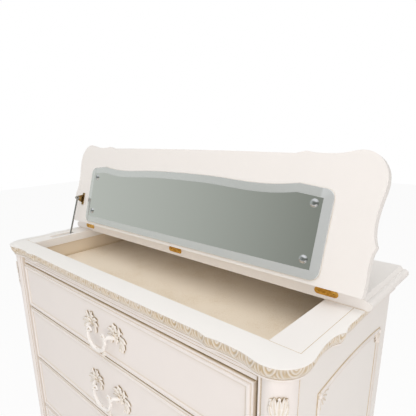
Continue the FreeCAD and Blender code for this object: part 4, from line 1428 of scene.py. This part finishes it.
@dataclass
class Studio:
    """Pale floor, white surround and soft lamps."""

    wall: str = "#FFFFFF"
    fill: float = 0.6
    key: float = 27.0
    front: float = 36.0
    camera_spot: tuple[float, float, float] = (0.6387, -0.5890, 1.3169)
    camera_turns: tuple[float, float, float] = (45.0631, 15.9622, -1.5936)
    sensor: float = 36.0
    lens: float = 32.660567
    shift: tuple[float, float] = (0.061607, 0.071010)

    def world(self) -> None:
        """An even white surround, with a grey room for what shines."""
        world = bpy.data.worlds.new("studio")
        bpy.context.scene.world = world
        world.use_nodes = True
        tree = world.node_tree
        tree.nodes.clear()
        path = add(tree, "ShaderNodeLightPath")
        place = add(tree, "ShaderNodeTexCoord")
        axis = add(tree, "ShaderNodeSeparateXYZ", {0: place.outputs["Generated"]})
        ahead = add(tree, "ShaderNodeMapRange",
                    {"Value": axis.outputs["X"], "From Min": -0.95, "From Max": -0.35})
        room = add(tree, "ShaderNodeMix",
                   {"Factor": ahead.outputs[0], 6: srgb("#C6CAC5"), 7: srgb("#7C8079")},
                   data_type="RGBA")
        high = add(tree, "ShaderNodeMapRange",
                   {"Value": axis.outputs["Z"], "From Min": 0.45, "From Max": 0.8})
        seen = add(tree, "ShaderNodeMix", {"Factor": high.outputs[0], 6: room.outputs[2], 7: srgb("#FFFFFF")},
                   data_type="RGBA")
        light = add(tree, "ShaderNodeBackground", {"Color": srgb("#FFFDFB"), "Strength": self.fill})
        shine = add(tree, "ShaderNodeBackground", {"Color": seen.outputs[2], "Strength": 1.0})
        plain = add(tree, "ShaderNodeBackground", {"Color": srgb(self.wall), "Strength": 1.0})
        first = add(tree, "ShaderNodeMixShader", {0: path.outputs["Is Glossy Ray"], 1: light.outputs[0],
                                                  2: shine.outputs[0]})
        second = add(tree, "ShaderNodeMixShader", {0: path.outputs["Is Camera Ray"], 1: first.outputs[0],
                                                   2: plain.outputs[0]})
        add(tree, "ShaderNodeOutputWorld", {0: second.outputs[0]})

    def floor(self) -> None:
        """A wide white floor that keeps the soft shadow under the chest."""
        mesh = bpy.data.meshes.new("floor")
        mesh.from_pydata([(-9, -9, 0), (9, -9, 0), (9, 9, 0), (-9, 9, 0)], [], [(0, 1, 2, 3)])
        floor = bpy.data.objects.new("floor", mesh)
        bpy.context.scene.collection.objects.link(floor)
        material = bpy.data.materials.new("studio_floor")
        material.use_nodes = True
        tree = material.node_tree
        tree.nodes.clear()
        path = add(tree, "ShaderNodeLightPath")
        soft = add(tree, "ShaderNodeBsdfDiffuse", {"Color": srgb("#F4F3F1")})
        glow = add(tree, "ShaderNodeEmission", {"Color": srgb("#FFFFFF"), "Strength": 1.0})
        share = add(tree, "ShaderNodeMath", {0: path.outputs["Is Camera Ray"], 1: 0.92}, operation="MULTIPLY")
        mixed = add(tree, "ShaderNodeMixShader",
                    {0: share.outputs[0], 1: soft.outputs[0], 2: glow.outputs[0]})
        add(tree, "ShaderNodeOutputMaterial", {0: mixed.outputs[0]})
        mesh.materials.append(material)

    def lamp(self, name: str, spot: tuple[float, float, float], aim: tuple[float, float, float], size: float,
             power: float, tint: str) -> None:
        """A square soft lamp.

        Args:
            name: the lamp's name.
            spot: where it hangs, in metres.
            aim: the point that it faces.
            size: its side in metres.
            power: its power in watts.
            tint: its colour.
        """
        data = bpy.data.lights.new(name, "AREA")
        data.shape = "SQUARE"
        data.size = size
        data.energy = power
        data.color = srgb(tint)[:3]
        lamp = bpy.data.objects.new(name, data)
        lamp.location = spot
        lamp.rotation_euler = (Vector(aim) - Vector(spot)).to_track_quat("-Z", "Y").to_euler()
        lamp.visible_glossy = False
        bpy.context.scene.collection.objects.link(lamp)

    def camera(self) -> None:
        """The camera: above the right front corner, tipped down and slightly rolled."""
        pan, tip, roll = (math.radians(a) for a in self.camera_turns)
        ahead = Vector((-math.sin(pan) * math.cos(tip), math.cos(pan) * math.cos(tip), -math.sin(tip)))
        right = Vector((math.cos(pan), math.sin(pan), 0))
        up = right.cross(ahead)
        across = math.cos(roll) * right + math.sin(roll) * up
        above = math.cos(roll) * up - math.sin(roll) * right
        data = bpy.data.cameras.new("camera")
        data.sensor_width = self.sensor
        data.lens = self.lens
        data.shift_x, data.shift_y = self.shift
        data.clip_start = 0.01
        camera = bpy.data.objects.new("camera", data)
        turn = Matrix((across, above, -ahead)).transposed()
        camera.matrix_world = Matrix.Translation(self.camera_spot) @ turn.to_4x4()
        bpy.context.scene.collection.objects.link(camera)
        bpy.context.scene.camera = camera

    def build(self) -> None:
        """Sets up the whole studio."""
        bpy.context.scene.view_settings.view_transform = "Standard"
        self.world()
        self.floor()
        self.lamp("overhead", (0.4, -0.6, 3.4), (0.0, 0.0, 1.0), 2.6, self.key, "#FFFFFF")
        self.lamp("front_fill", (2.6, -2.4, 1.6), (0.0, 0.0, 0.8), 2.4, self.front, "#FFF6F2")
        self.camera()


def main() -> None:
    """Builds the chest round its frame and dresses it."""
    logging.basicConfig(level=logging.INFO, format="%(name)s: %(message)s")
    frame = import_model()
    frame_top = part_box("frame_right_rail")[1][2]
    board_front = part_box("rear_top_board")[0][1]
    place = Place(hinge_y=board_front - HINGE_GAP * MM, top_z=frame_top)
    finishes = Finishes()
    Carried(finishes).build(frame["nodes"])
    plan = TopPlan()
    TopFrame(plan, Carving(), place, finishes).build()
    Cornice(plan, place, finishes).build()
    CornerPost(place, finishes).build()
    CornerLeaf(place, finishes).build()
    SidePanelFrame(place, finishes).build()
    FrontFoot(place, finishes).build()
    DrawerSet(place, finishes).build()
    LidFittings(place, finishes).build()
    Studio().build()


if __name__ == "__main__":
    main()
